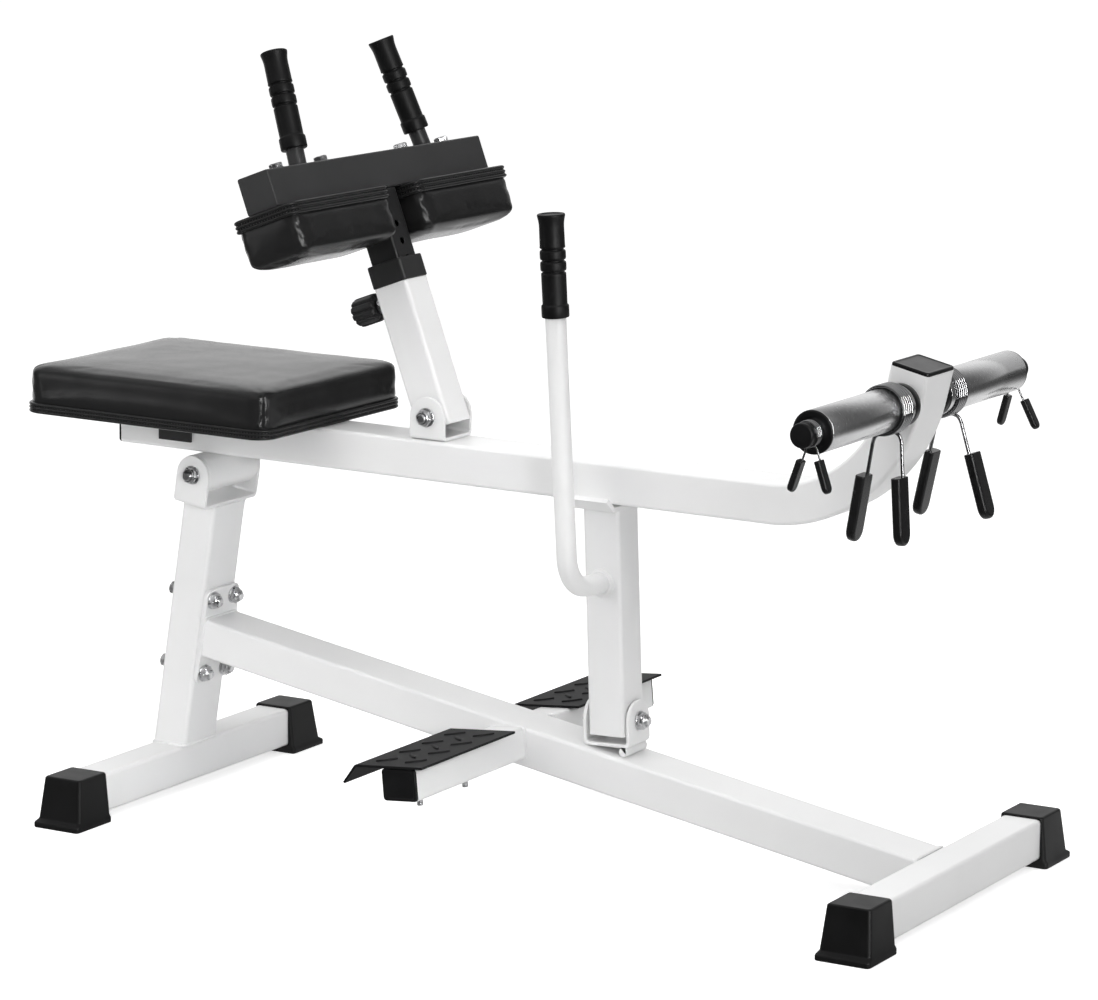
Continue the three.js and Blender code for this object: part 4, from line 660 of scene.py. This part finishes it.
for side, s in (("near", -1), ("far", 1)):
    sideways = Matrix.Rotation(math.radians(-90 * s), 4, "X")
    face = tread_place @ sideways @ Matrix.Translation((0, 0, 277 * MM))
    plug, name = f"foot_bar_plug_{side}", f"foot_plate_{side}"
    end_plug(plug + "_cap", plug, 48 * MM, 40 * MM, face, "base")
    fx, fz = -math.cos(bend) * flange, -math.sin(bend) * flange
    nx, nz = math.sin(bend) * t, -math.cos(bend) * t
    top_line, low_line = [(edge, low + t)], [(edge, low)]
    for i in range(7):
        across, drop = math.sin(bend * i / 6), 1 - math.cos(bend * i / 6)
        x = back + bend_r + 0.6
        top_line.append((x - (bend_r + t) * across, low + t - (bend_r + t) * drop))
        low_line.append((x - bend_r * across, low - bend_r * drop))
    top_line.append((back + fx, low + t + fz))
    low_line.append((back + fx + nx, low + t + fz + nz))
    section = top_line + low_line[::-1]
    y0, y1 = sorted((s * 75.0, s * 284.0))
    rings = [[(x * MM, y * MM, z * MM) for x, z in section] for y in (y0, y1)]
    plate = loft([[seat_at(tread_place, *p) for p in ring] for ring in rings])
    sheet = put(name + "_sheet", plate, tread_steel, "base", [name])
    soften(sheet, 0.5 * MM)
    spots, mid_x, mid_y = [], (edge + back) / 2, (y0 + y1) / 2
    for i in range(-2, 3):
        for j in range(-3, 4):
            for shift, angle in ((0.5, 45), (0, -45)):
                x, y = (i + shift) * bar_x, (j + shift) * bar_y
                if abs(x) < bar_x and abs(y) < bar_limit:
                    spot = ((mid_x + x) * MM, (mid_y + y) * MM, (low + t) * MM)
                    spots.append((seat_at(tread_place, *spot), upward, math.radians(angle)))
    bars = {"Part": bar_part, "Size": 1.0, "Finish": tread_steel}
    grown(name + "_bars", points("bars", spots), copies, bars, "base", sharp=50)

    # welded to the beam's side, and held by two screws whose ends show underneath
    seam = [(u, s * 35.6, v) for u, v in frame_round(24.2, 20.2, 4.5)]
    weld(f"foot_bar_weld_{side}", tread_place, seam, 4.0, "base")
    spots = [seat_at(tread_place, 3 * MM, s * y * MM, -19.5 * MM) for y in (144, 244)]
    screws = points("screws", [(spot, downward, 0.2) for spot in spots])
    ends = {"Part": screw_part, "Size": 1.0, "Finish": zinc}
    grown(name + "_screw_ends", screws, copies, ends, "base")

# --- Pivot bracket and safety post ------------------------------------------------------
# The post swings in a U plate on the beam, levelled by a rod under its front edge. Its
# cradle plate holds the arm up, with one lip turned up towards the near side.
for name in ("post_bracket", "safety_post", "cradle_plate"):
    dressed(name, white_coat)

# --- Lever and hand grips ---------------------------------------------------------------
# A round white tube leaves the post's near side and bends up into a hand lever. It and
# the two knee handles wear the same rubber grip: a ring, three grooves, a flared end.
rise, lean, bend_r = math.radians(5), math.radians(-post_lean), 43.0
start, out, root_z, tube_r, lever_top = 25.3, 105.5, 171.0, 12.5, 621.0
bend_start = out - bend_r * (1 - math.sin(rise))
run, slope = bend_start - start, math.tan(rise)
line = [(-start + 0.8, root_z - 0.07, rise)]
line.append((-(start + bend_start) / 2, root_z + run / 2 * slope, rise))
foot_z = root_z + (run - tube_r * slope) * slope
for i in range(29):
    a = rise + (math.pi / 2 - lean - rise) * i / 28
    y = -bend_start - bend_r * (math.sin(a) - math.sin(rise))
    line.append((y, foot_z + bend_r * (math.cos(rise) - math.cos(a)), a))
y, z, a = line[-1]
length = (lever_top - z) / math.sin(a)
for share in (0.05, 0.5, 1.0):
    line.append((y - math.cos(a) * length * share, z + math.sin(a) * length * share, a))
rings = []
for y, z, a in line:
    ring = []
    for t in angles(40):
        across, high = tube_r * math.cos(t), tube_r * math.sin(t)
        ring.append((across, y + high * math.sin(a), z + high * math.cos(a)))
    rings.append([seat_at(post_place, *(c * MM for c in p)) for p in ring])
put("lever_tube_bent", loft(rings), white_coat, "safety_post", ["lever_tube"])
for k, (radius, off, width) in enumerate(((14.6, -1.0, 6.0), (13.2, -3.6, 4.6))):
    high = radius + 0.8
    ring = [(radius * math.cos(t), off - start, root_z + high * math.sin(t)) for t in angles(36)]
    weld(f"lever_root_weld_{k + 1}", post_place, ring, width, "safety_post")


def hand_grip(place, hole):
    """A rubber grip standing on z = 0 and closed at its top."""
    outer = [(14.6, 0), (15.9, 0.4), (16.4, 1.6), (16.4, 13.4), (16.0, 14.8), (14.9, 15.6)]
    outer += [(14.7, 17), (14.8, 30), (14.8, 50)]
    groove = [(14.8, -2.2), (14.5, -1.4), (13.3, -0.9), (13.0, 0)]
    groove += [(13.3, 0.9), (14.7, 1.4), (15.2, 2.2)]
    for i in range(3):
        z = 54 + 13.3 * i
        outer += [(r, z + dz) for r, dz in groove]
        if i < 2:
            outer += [(15.4, z + 4), (15.4, z + 9.3), (15.2, z + 11.1)]
    outer += [(14.9, 85), (14.8, 98), (14.7, 107), (14.9, 111), (15.5, 115), (16.3, 118.6)]
    outer += [(16.6, 120.2), (16.4, 121.4), (15.6, 122), (12.6, 121.8), (11.8, 121.0)]
    outer += [(7, 120.9), (0, 120.9)]
    return turned(in_mm([(0, 116), (hole, 116), (hole, 0), *outer]), 56, place)


y, z, a = line[-1]
lever_end = post_place @ Matrix.Translation((0, y * MM, z * MM))
grip_place = lever_end @ Matrix.Rotation(math.pi / 2 - a, 4, "X")
grip = hand_grip(grip_place @ Matrix.Translation((0, 0, -117.7 * MM)), 12.7)
put("lever_grip_rubber", grip, rubber, "safety_post", ["lever_grip"], sharp=50)
handle_y, box_top, handle_lean = 138, 330, 8.4
for side, s in (("near", -1), ("far", 1)):
    foot = knee_place @ Matrix.Translation((0, s * handle_y * MM, box_top * MM))
    stand = foot @ Matrix.Rotation(math.radians(s * handle_lean), 4, "X")
    grip = hand_grip(stand @ Matrix.Translation((0, 0, 22 * MM)), 11.2)
    node = f"handle_grip_{side}"
    put(node + "_rubber", grip, rubber, "knee_rest", [node], sharp=50)

# --- Lever arm --------------------------------------------------------------------------
# One length of wide box tube, bent up at its front into the column that holds the weight
# bar. Plugs close both ends, and a round sleeve under it turns on the pivot bolt.
half_w, half_h, tail_x = 35, 25, -128.0
bend, bend_x, bend_r, column_rise = math.radians(77.85), 807, 175, 36.5
mid = 25.3 + half_h
stations = [(tail_x, mid, 0.0), (300.0, mid, 0.0)]
for i in range(45):
    a = bend * i / 44
    stations.append((bend_x + bend_r * math.sin(a), mid + bend_r * (1 - math.cos(a)), a))
x, z, a = stations[-1]
column = (x + column_rise * math.cos(a), z + column_rise * math.sin(a), a)
stations.append(column)
section, rings = rounded(-half_w, half_w, -half_h, half_h, 5, 7), []
for x, z, a in stations:
    ring = [(x - math.sin(a) * v, u, z + math.cos(a) * v) for u, v in section]
    rings.append([seat_at(arm_place, *(c * MM for c in p)) for p in ring])
arm = put("arm_tube_bent", loft(rings), white_coat, "arm", ["arm_tube"])
even = arm.modifiers.new("Flat faces", "WEIGHTED_NORMAL")
even.keep_sharp, even.weight = True, 60
tail_face = arm_place @ leaning((tail_x * MM, 0, mid * MM), -90)
x, z, a = column
top_face = arm_place @ leaning((x * MM, 0, z * MM), 90 - math.degrees(a))
for end_word, face in (("rear", tail_face), ("top", top_face)):
    plug = f"arm_{end_word}_plug"
    end_plug(f"arm_{end_word}_cap", plug, 2 * half_h * MM, 2 * half_w * MM, face, "arm")
dressed("arm_pivot_sleeve", white_coat, 0.8 * MM)

# --- Seat -------------------------------------------------------------------------------
# A board wrapped in foam and vinyl. A piped band of three welts is stitched round its
# lower edge, each corner has a seam, and a black steel strap holds the board to the arm.
dark, light = (0.029, 0.029, 0.0295), (0.042, 0.042, 0.043)
black_steel = powder_coat("black_powder_coat", dark, light, 0.4, 0.3, 0.3)
dressed("seat_bracket", black_steel)
vinyl, shader, place = finish("black_vinyl", (0.014, 0.014, 0.015), 0.3)
cells = {"Vector": place, "Scale": 760.0}
pores = place.node("ShaderNodeTexVoronoi", {"feature": "DISTANCE_TO_EDGE"}, cells)
creases, cloud = grain(place, 120, 4.0, 0.62), grain(place, 16, 3.0)
shader.inputs["Specular IOR Level"].default_value = 0.22
wire_up(
    shader,
    Base_Color=tint(cloud, (0.012, 0.012, 0.0122), (0.019, 0.019, 0.0193)),
    Roughness=cloud * 0.1 + 0.12 + creases * 0.06,
    Normal=relief(pores.math("MINIMUM", pores * 3.0, 0.6) + creases * 0.5, 0.24, 0.15 * MM),
)


def pad_rings(box, rows, place, steps=10):
    """Rings of a stuffed pad: each row is (inset, height), in millimetres."""
    x0, x1, y0, y1, radius = box
    rings = []
    for d, z in rows:
        r = max(radius - d / 2, 1.2)
        flat = []
        corner = rounded(x0 + d, x1 - d, y0 + d, y1 - d, r, steps)
        for i, p in enumerate(corner):
            flat.append(p)
            if i % (steps + 1) == steps:
                q, n = corner[(i + 1) % len(corner)], 14
                for k in range(1, n):
                    flat.append((p[0] + (q[0] - p[0]) * k / n, p[1] + (q[1] - p[1]) * k / n))
        rings.append([seat_at(place, u * MM, v * MM, z * MM) for u, v in flat])
    return rings


def smooth_out(made, factor):
    axes = dict.fromkeys(("use_axis_x", "use_axis_y", "use_axis_z"), True)
    bmesh.ops.smooth_vert(made, verts=made.verts, factor=factor, **axes)


def swollen(mesh, held, cap, voxel):
    """The cover as its foam fills it: a cloth blown up a little, held where it is sewn."""
    pad = bpy.data.objects.new("cover", mesh)
    bpy.context.scene.collection.objects.link(pad)
    grid = pad.modifiers.new("Grid", "REMESH")
    grid.mode, grid.voxel_size = "VOXEL", voxel
    fine = as_made(pad)
    pad.modifiers.clear()
    pad.data = fine
    rest = [v.co.copy() for v in fine.vertices]
    sewn = pad.vertex_groups.new(name="sewn")
    sewn.add([v.index for v in fine.vertices if held(v.co)], 1.0, "REPLACE")
    cloth = pad.modifiers.new("Cloth", "CLOTH")
    cloth.settings.vertex_group_mass = "sewn"
    cloth.settings.use_pressure, cloth.settings.uniform_pressure_force = True, 4.0
    cloth.settings.effector_weights.gravity = 0.0
    cloth.settings.tension_stiffness = cloth.settings.compression_stiffness = 30
    for step in range(1, 21):
        bpy.context.scene.frame_set(step)
    blown = as_made(pad)
    for v, old, new in zip(fine.vertices, rest, blown.vertices):
        move = new.co - old
        if move.length > 1e-9:
            v.co = old + move * min(1.0, cap / move.length)
    pad.modifiers.clear()
    bpy.context.scene.frame_set(1)
    made = bmesh.new()
    made.from_mesh(pad.data)
    smooth_out(made, 0.5)
    bpy.data.objects.remove(pad)
    return made


def stuffed_pad(name, node, box, sizes, place, body, up=1):
    """Cover, welted band and stitches of one pad, on the place's z = 0."""
    height, band, inset, rounding, crown, lip, board = sizes
    place = place if up > 0 else place @ Matrix.Diagonal((1, 1, -1, 1))
    back = place.inverted()
    bead = band / 6
    wall = height - crown
    x0, x1, y0, y1, radius = box
    rows = [(lip + 10, 4.2), (inset + bead, 4.2), (inset + bead * 0.5, band), (inset, band + 5)]
    rows.append((inset - 0.2, band + (wall - rounding - band) * 0.6))
    for k in range(8):
        a = math.radians(90 * k / 7)
        off = inset + rounding * (1 - math.cos(a))
        rows.append((off, wall - rounding + rounding * math.sin(a)))
    rings = pad_rings(box, rows, place)
    centre_x, centre_y, inner = (x0 + x1) / 2, (y0 + y1) / 2, inset + rounding
    for k, z in ((0.88, 0.42), (0.7, 0.74), (0.5, 0.92), (0.25, 1.0), (0.05, 1.0)):
        half_x, half_y = ((x1 - x0) / 2 - inner) * k, ((y1 - y0) / 2 - inner) * k
        along = centre_x - half_x, centre_x + half_x
        across = centre_y - half_y, centre_y + half_y
        rings += pad_rings((*along, *across, radius * k), [(0, wall + crown * z)], place)
    shell = loft(rings)
    mesh = bpy.data.meshes.new("shell")
    shell.to_mesh(mesh)
    shell.free()
    made = swollen(mesh, lambda p: (back @ p).z < (band + 3) * MM, 1.1 * MM, 4.0 * MM)
    inward, corners = radius * 0.293, []
    for y, sy in ((y0, 1), (y1, -1)):
        for x, sx in ((x0, 1), (x1, -1)):
            corners.append((x + sx * inward, y + sy * inward, sx, sy))
    bmesh.ops.subdivide_edges(made, edges=made.edges[:], cuts=1, use_grid_fill=True, smooth=0.6)
    made.normal_update()
    for v in made.verts:
        p = back @ v.co / MM
        # ruched leather next to each corner seam, and slight slackness elsewhere
        for cx, cy, sx, sy in corners:
            in_x, in_y = (p.x - cx) * sx, (p.y - cy) * sy
            along, off = (in_x + in_y) / 1.414, (in_x - in_y) / 1.414
            if abs(off) < 34 and along < 26 and p.z > band:
                seam = math.exp(-((off / 2.6) ** 2))
                wave = math.sin(p.z / 3.1 + 1.7 * math.sin(off / 6.0)) * 0.35
                ruche = math.exp(-((off / 12) ** 2)) * wave
                fade = max(0.0, min(1.0, (26 - along) / 14))
                v.co -= v.normal * (0.7 * seam + ruche) * fade * MM
        v.co += v.normal * noise.noise(v.co * 22) * 0.5 * MM
    smooth_out(made, 0.4)
    cover = put(name + "_cover", made, vinyl, body, [node], sharp=180)
    rows = [(lip + 8, board), (lip, 0.8), (lip - 1.5, 0.1), (bead, 0.1)]
    for k in range(3):
        for a in range(-75, 76, 25):
            t = math.radians(a)
            off = bead * (1.0 - math.cos(t)) * 1.25
            rows.append((off, bead * (1 + 2 * k) + bead * math.sin(t)))
    rows += [(inset + bead * 0.4, band + bead * 0.1), (inset + bead * 1.6, band - bead)]
    rows.append((lip + 8, board + 0.4))
    underside = pad_rings(box, [(min(x1 - x0, y1 - y0) / 2 - 2, board)], place)
    welt = loft(pad_rings(box, rows, place) + underside)
    put(name + "_welt", welt, vinyl, body, sharp=75)
    seam_rows = pad_rings(box, [(bead * 0.55, bead * 4), (bead * 0.6, bead * 2)], place)
    loops, count = bpy.data.meshes.new("seams"), len(seam_rows[0])
    edges = [(r + i, r + (i + 1) % count) for r in (0, count) for i in range(count)]
    loops.from_pydata([p for ring in seam_rows for p in ring], edges, [])
    stitch = {"Pitch": 4.2 * MM, "Length": 2.9 * MM, "Width": 0.9 * MM, "Finish": thread}
    grown(name + "_stitches", loops, beads, stitch, body)


thread, shader, place = finish("black_thread", (0.02, 0.02, 0.021), 0.6)
diagonal = {"wave_type": "BANDS", "bands_direction": "DIAGONAL"}
twist = place.node("ShaderNodeTexWave", diagonal, {"Vector": place, "Scale": 900.0})
yarn = tint(twist, (0.012, 0.012, 0.012), (0.05, 0.05, 0.05))
wire_up(shader, Base_Color=yarn, Normal=relief(twist, 0.4, 0.1 * MM))
seat_place = arm_place @ Matrix.Translation((0, 0, (75.3 + 0.3) * MM))
seat_box, seat_sizes = (-193, 181, -158, 158, 26), (63, 13.5, 2.6, 10, 4.0, 14, 3.2)
stuffed_pad("seat", "seat_cushion", seat_box, seat_sizes, seat_place, "arm")

# --- Knee post, collar and mast ---------------------------------------------------------
# The knee post leans back in a U plate on the arm. A moulded collar guides the black mast
# in it, and a sprung pin with a fluted knob drops into one of the mast's holes.
dressed("knee_bracket", white_coat)
post = dressed("knee_post", white_coat)
post.data.materials.append(zinc)
for face in post.data.polygons:
    if (knee_place.inverted() @ face.center).x < -25.4 * MM:
        face.material_index = 1
dark, light = (0.018, 0.018, 0.0185), (0.028, 0.028, 0.0285)
collar_plastic = powder_coat("collar_plastic", dark, light, 0.42, 0.2, 0.3)
dressed("knee_collar", collar_plastic, 0.9 * MM)
# The mast's coat is the box's black powder coat painted darker, as painted shade for the shadow
# that the pads cast on it, and a little smoother.
dark, light = (0.014, 0.014, 0.0145), (0.022, 0.022, 0.0225)
mast_shade_painted_coat = powder_coat("black_mast_shade_painted_coat", dark, light, 0.3, 0.3, 0.25)
dressed("knee_mast", mast_shade_painted_coat, 0.7 * MM)
profile = [(0, 39.5), (13, 39.5), (16.2, 40.2), (17.6, 42.2), (18, 45), (18, 68), (17.6, 71)]
profile += [(16.2, 73), (13.6, 73.6), (12.4, 73.2), (11.8, 71.8), (6.4, 71.6), (6.0, 73.2)]
profile += [(4, 73.5), (0, 73.5)]
flutes, flute_depth, pin_z, rings = 10, 2.6, 149, []
for r, z in profile:
    ring = []
    for a in angles(120):
        cut = max(0.0, math.cos(a * flutes)) ** 1.5 * flute_depth if r > 12.9 else 0.0
        ring.append((-z, (r - cut) * math.cos(a), pin_z + (r - cut) * math.sin(a)))
    rings.append([seat_at(knee_place, *(c * MM for c in p)) for p in ring])
knob = loft(rings, False)
put("pull_pin_knob", knob, collar_plastic, "pull_pin", ["pull_pin"], sharp=50)
shaft = in_mm([(0, 21.3), (3.4, 21.3), (4, 22.2), (4, 41), (0, 41)])
pin = turned(shaft, 28, knee_place @ leaning((0, 0, pin_z * MM), -90))
put("pull_pin_shaft", pin, zinc, "pull_pin")

# --- Knee box ---------------------------------------------------------------------------
# A black steel box on the mast, with two handle tubes welded on it. Four bolts go down
# through it into the pads' boards.
dressed("knee_box", black_steel, 0.9 * MM)
for side, s in (("near", -1), ("far", 1)):
    ring = [(12.2 * math.cos(t), s * handle_y + 12.4 * math.sin(t), 330.2) for t in angles(30)]
    name = f"handle_weld_{side}"
    weld(name, knee_place, ring, 2.8, "knee_rest", material=black_steel)
box_bolts, upward = [], way_of(knee_place, 0, 0, 1)
for s in (-1, 1):
    for t in (-1, 1):
        spot = seat_at(knee_place, 0, s * (135.5 + t * 47) * MM, 330.2 * MM)
        box_bolts.append((spot, upward, 0.4 * s + t))
bolts("box_bolt_heads", head_part, box_bolts, "knee_rest", size=0.95)

# --- Knee pads --------------------------------------------------------------------------
# Two stuffed vinyl pads, crown down, under the box. Made like the seat, but smaller.
pad_place = knee_place @ Matrix.Translation((0, 0, 283.7 * MM))
for side, y0, y1 in (("near", -242.5, -28.5), ("far", 28.5, 242.5)):
    name, pad_box, pad_sizes = f"knee_pad_{side}", (-48, 48, y0, y1, 15), (67, 16, 3, 12, 3, 6, 0.3)
    stuffed_pad(name, name, pad_box, pad_sizes, pad_place, "knee_rest", up=-1)

# --- Weight bar and sleeves -------------------------------------------------------------
# A chromed bar through the column carries a satin chrome tube on each side for the
# weights, with a black ring at each end and a black cap on the bar's end.
chrome, shader, place = finish("bright_chrome", (0.78, 0.78, 0.79), 0.06, 1.0)
cloud, skin = grain(place, 60, 2.0), grain(place, 300, 2.0)
wire_up(shader, Roughness=cloud * 0.07 + 0.04, Normal=relief(skin, 0.04, 0.05 * MM))
satin, shader, place = finish("satin_chrome", (0.62, 0.62, 0.63), 0.24, 1.0)
bar_place = leaning((541.786 * MM, 0, 592.532 * MM), arm_lean)
centred = tuple(-c for c in bar_place.translation)
drawn_out = {"Vector": place, "Location": centred, "Scale": (200.0, 900.0, 200.0)}
stretch = place.node("ShaderNodeMapping", {}, drawn_out)
brushed = stretch.node("ShaderNodeTexNoise", {}, {"Vector": stretch, "Scale": 1.0, "Detail": 2.0})
wire_up(
    shader,
    Base_Color=tint(brushed, (0.5, 0.5, 0.505), (0.76, 0.76, 0.765)),
    Roughness=brushed * 0.14 + 0.17,
    Normal=relief(brushed, 0.16, 0.06 * MM),
)
sleeve = [(22.5, 48.1), (22.5, 250.6), (22.9, 251), (24.6, 251), (25, 250.6), (25, 48.1)]
sleeve += [(24.6, 47.6), (22.9, 47.6), sleeve[0]]
inner_ring = [(12.8, 35.3), (24.6, 35.3), (25, 35.8), (25, 46.8), (24.6, 47.3), (12.8, 47.3)]
inner_ring.append(inner_ring[0])
outer_ring = [(12.8, 243), (22.2, 243), (22.2, 251.3), (24.7, 251.3), (25, 251.8)]
outer_ring += [(24.8, 252.9), (24, 253.8), (22.5, 254), (17, 254), (16.4, 253.4)]
outer_ring += [(13.3, 253.2), (12.8, 252.6), outer_ring[0]]
bar_cap = [(0, 276), (12.8, 276), (12.8, 270), (13.8, 270), (14.2, 270.5), (14.2, 278.6)]
bar_cap += [(13.9, 280), (13, 280.8), (11.8, 281), (0, 281)]
for side, s in (("near", -1), ("far", 1)):
    face = bar_place @ Matrix.Rotation(math.radians(-90 * s), 4, "X")
    for word, profile, material, slot in (
        ("weight_sleeve", sleeve, satin, "satin_chrome"),
        ("sleeve_inner_ring", inner_ring, black_plastic, "black_plastic"),
        ("sleeve_outer_ring", outer_ring, black_plastic, "black_plastic"),
        ("bar_cap", bar_cap, black_plastic, "black_plastic"),
    ):
        name, piece = f"{word}_{side}", turned(in_mm(profile), 96, face)
        put(name + "_turned", piece, material, "arm", [name], sharp=50)
bar_face = bar_place @ Matrix.Rotation(math.radians(-90), 4, "X")
bar = turned(in_mm([(0, -277), (12.5, -277), (12.5, 277), (0, 277)]), 72, bar_face)
put("weight_bar_turned", bar, chrome, "arm", ["weight_bar"], sharp=50)

# --- Spring collars -----------------------------------------------------------------------
# Each is one chromed wire: an open coil that grips the sleeve or the bar, and two tails
# that bend down into flat moulded grips. The large pair locks the weights on.
wires, given, end = new_tree(
    "wire_along_path", ("Radius", "Float", MM), ("Sides", "Int", 20), ("Finish", "Material")
)
path = given["Geometry"].node("GeometryNodeMeshToCurve", {}, {0: given["Geometry"]})
circle = {"Resolution": given["Sides"], "Radius": given["Radius"]}
round_wire = path.node("GeometryNodeCurvePrimitiveCircle", {}, circle)
swept = {"Curve": path, "Profile Curve": round_wire, "Fill Caps": True}
end(path.node("GeometryNodeCurveToMesh", {}, swept))
# The wire's chrome is the bar's bright chrome painted darker, as painted shade, so that the wire
# reads dark with a thin bright line where the strip light shows.
dark, light = (0.2, 0.2, 0.205), (0.38, 0.38, 0.385)
shade_painted_wire_chrome = clouded(
    "shade_painted_wire_chrome", dark, light, (0.05, 0.08), (60, 2.0), (300, 2.0, 0.04, 0.05), metallic=1.0
)
dark, light = (0.007, 0.007, 0.0072), (0.014, 0.014, 0.0145)
grip_plastic = clouded(
    "grip_plastic", dark, light, (0.18, 0.14), (60, 3.0), (1400, 2.0, 0.12, 0.08), 0.24
)


def smooth_line(rough, per):
    """A curve through points, with steps between each two."""
    out = []
    for i in range(len(rough) - 1):
        p0, p1, p2 = rough[max(i - 1, 0)], rough[i], rough[i + 1]
        p3 = rough[min(i + 2, len(rough) - 1)]
        for k in range(per):
            t = k / per
            even_part = 2 * p1 + (p2 - p0) * t + (2 * p0 - 5 * p1 + 4 * p2 - p3) * t * t
            out.append(0.5 * (even_part + (3 * p1 - p0 - 3 * p2 + p3) * t ** 3))
    return out + [rough[-1]]


def collar(word, side, big, roll, rear, front):
    """One collar on its bar: rear and front are each tail's reach, drop and lean."""
    r, pitch, turns = (27.5, 4.9, 5) if big else (14.05, 3.1, 3)
    thick, bend, hole = (2.2, 11.0, 11.7) if big else (1.25, 5.0, 7.7)
    first = (47.6 + 9.2 + 2.2) if big else (254 + 1.6 + 1.25)
    last = first + pitch * turns
    facing_out = Matrix.Rotation(math.pi if side < 0 else 0.0, 4, "Z")
    place = bar_place @ Matrix.Rotation(math.radians(-roll), 4, "Y") @ facing_out
    tails = (front, rear) if side < 0 else (rear, front)

    def tail(s, y, reach, drop, lean_deg):
        lean = math.radians(lean_deg)
        straight = drop - r - bend
        across = reach - straight * math.tan(lean)
        spots = [(0.0, 0.0), (0.4, 0.07), (0.78, 0.36), (1.0, 1.0)]
        way = [Vector((s * across * h, y, -r - bend * v)) for h, v in spots]
        for k in (0.12, 0.5, 1.0):
            way.append(Vector((s * (across + (reach - across) * k), y, -r - bend - straight * k)))
        way.append(Vector((s * (reach + hole * math.sin(lean)), y, -drop - hole * math.cos(lean))))
        return smooth_line(way, 6)

    coil, per_turn = [], 40
    for i in range(turns * per_turn + 1):
        a = -math.pi / 2 + 2 * math.pi * i / per_turn
        coil.append(Vector((r * math.cos(a), first + pitch * i / per_turn, r * math.sin(a))))
    whole = tail(-1, first, *tails[0])[::-1] + coil[1:-1] + tail(1, last, *tails[1])
    mesh = bpy.data.meshes.new("path")
    edges = [(i, i + 1) for i in range(len(whole) - 1)]
    mesh.from_pydata([place @ (p * MM) for p in whole], edges, [])
    size, body = ("large", f"collar_{word}") if big else ("small", "arm")
    node = f"{size}_collar_{word}"
    sizes = {"Radius": thick * MM, "Sides": 20, "Finish": shade_painted_wire_chrome}
    grown(node + "_wire", mesh, wires, sizes, body, [node])

    # a grip's outline, then its section: how deep and how far in each layer lies
    length, half_w, half_t, out = (79, 13, 6, 8) if big else (38, 7, 3.75, 3)
    outline = [(half_w, -0.8)] + [(half_w, -length * k) for k in (0.3, 0.6)]
    for k in range(0, 181, 15):
        a = math.radians(k)
        outline.append((half_w * math.cos(a), -length + half_w - half_w * math.sin(a)))
    outline += [(-half_w, -length * k) for k in (0.6, 0.3)]
    outline += [(-half_w, -0.8), (-half_w + 1.2, 0), (half_w - 1.2, 0)]
    e = half_t * 0.64
    rim = [(-half_t, e), (-half_t + e * 0.13, e * 0.5), (-half_t + e * 0.5, e * 0.13)]
    rim.append((-half_t + e, 0))
    rim += [(-depth, shrink) for depth, shrink in rim[::-1]]
    for s, (reach, drop, lean_deg), y in ((-1, tails[0], first), (1, tails[1], last)):
        end_word = "rear" if (s < 0) == (side > 0) else "front"
        hang = place @ leaning((s * reach * MM, y * MM, -drop * MM), -s * lean_deg)
        hang = hang @ Matrix.Translation((0, out * MM, 0))
        layers = []
        for depth, shrink in rim:
            layer = []
            for u, v in outline:
                higher = min(0.0, length * 0.5 + v) / length * 2 * shrink
                layer.append((depth, u * (1 - shrink / half_w), v - higher))
            layers.append([seat_at(hang, *(c * MM for c in p)) for p in layer])
        grip, made = f"{size}_collar_grip_{word}_{end_word}", loft(layers)
        name = grip + "_moulded"
        piece = put(name, made, grip_plastic, body, [grip], sharp=40)
        soften(piece, 0.6 * MM, 2, 35)


collar("near", -1, False, 5, (7.3, 28.5, 23.6), (9.4, 29.9, 14.3))
collar("far", 1, False, 8, (6.6, 29.8, 22), (9.8, 37.4, 20))
collar("near", -1, True, 0, (16.2, 74, 8.9), (16.2, 77.7, 4.2))
collar("far", 1, True, 8, (16.8, 67.3, 19.4), (21, 75.6, 9.5))

# --- Out of the studio --------------------------------------------------------------------
# The parts that were only copied go, and the floor is laid.
for part in (nut_part, head_part, bar_part, screw_part):
    bpy.data.objects.remove(part)
floor_finish, shader, place = finish("studio_floor", (0.9, 0.9, 0.9), 0.9)
shader.inputs["Specular IOR Level"].default_value = 0.0
shader.inputs["Emission Color"].default_value = (1, 1, 1, 1)
shader.inputs["Emission Strength"].default_value = 0.58
across, away = (place.node("ShaderNodeSeparateXYZ", {}, {0: place}, k) for k in (0, 1))
far_sheen = ramp(away, [(0.0, 0.04), (0.36, 0.10), (0.55, 0.85), (1.0, 1.05)], -1.4, 1.4)
stops = [(0.0, 1.0), (0.5, 1.0), (0.72, 0.3), (1.0, 0.08)]
side_sheen = ramp(across + away * 0.6, stops, 0.2, 3.0)
sheen = glow(place, far_sheen * side_sheen, "ShaderNodeEmission")
dull = place.node("ShaderNodeBsdfDiffuse", {}, {"Color": (0.68, 0.68, 0.68, 1)})
white = facing_ray(place, "Is Camera Ray", dull, Socket(place.tree, shader.outputs[0]))
painted = facing_ray(place, "Is Glossy Ray", white, sheen)
place.tree.links.new(painted.out, place.tree.nodes["Material Output"].inputs["Surface"])
made = bmesh.new()
bmesh.ops.create_grid(made, x_segments=1, y_segments=1, size=30)
mesh = bpy.data.meshes.new("floor")
made.to_mesh(mesh)
made.free()
mesh.materials.append(floor_finish)
floor = bpy.data.objects.new("floor", mesh)
floor.location.z = -0.2 * MM
bpy.context.scene.collection.objects.link(floor)
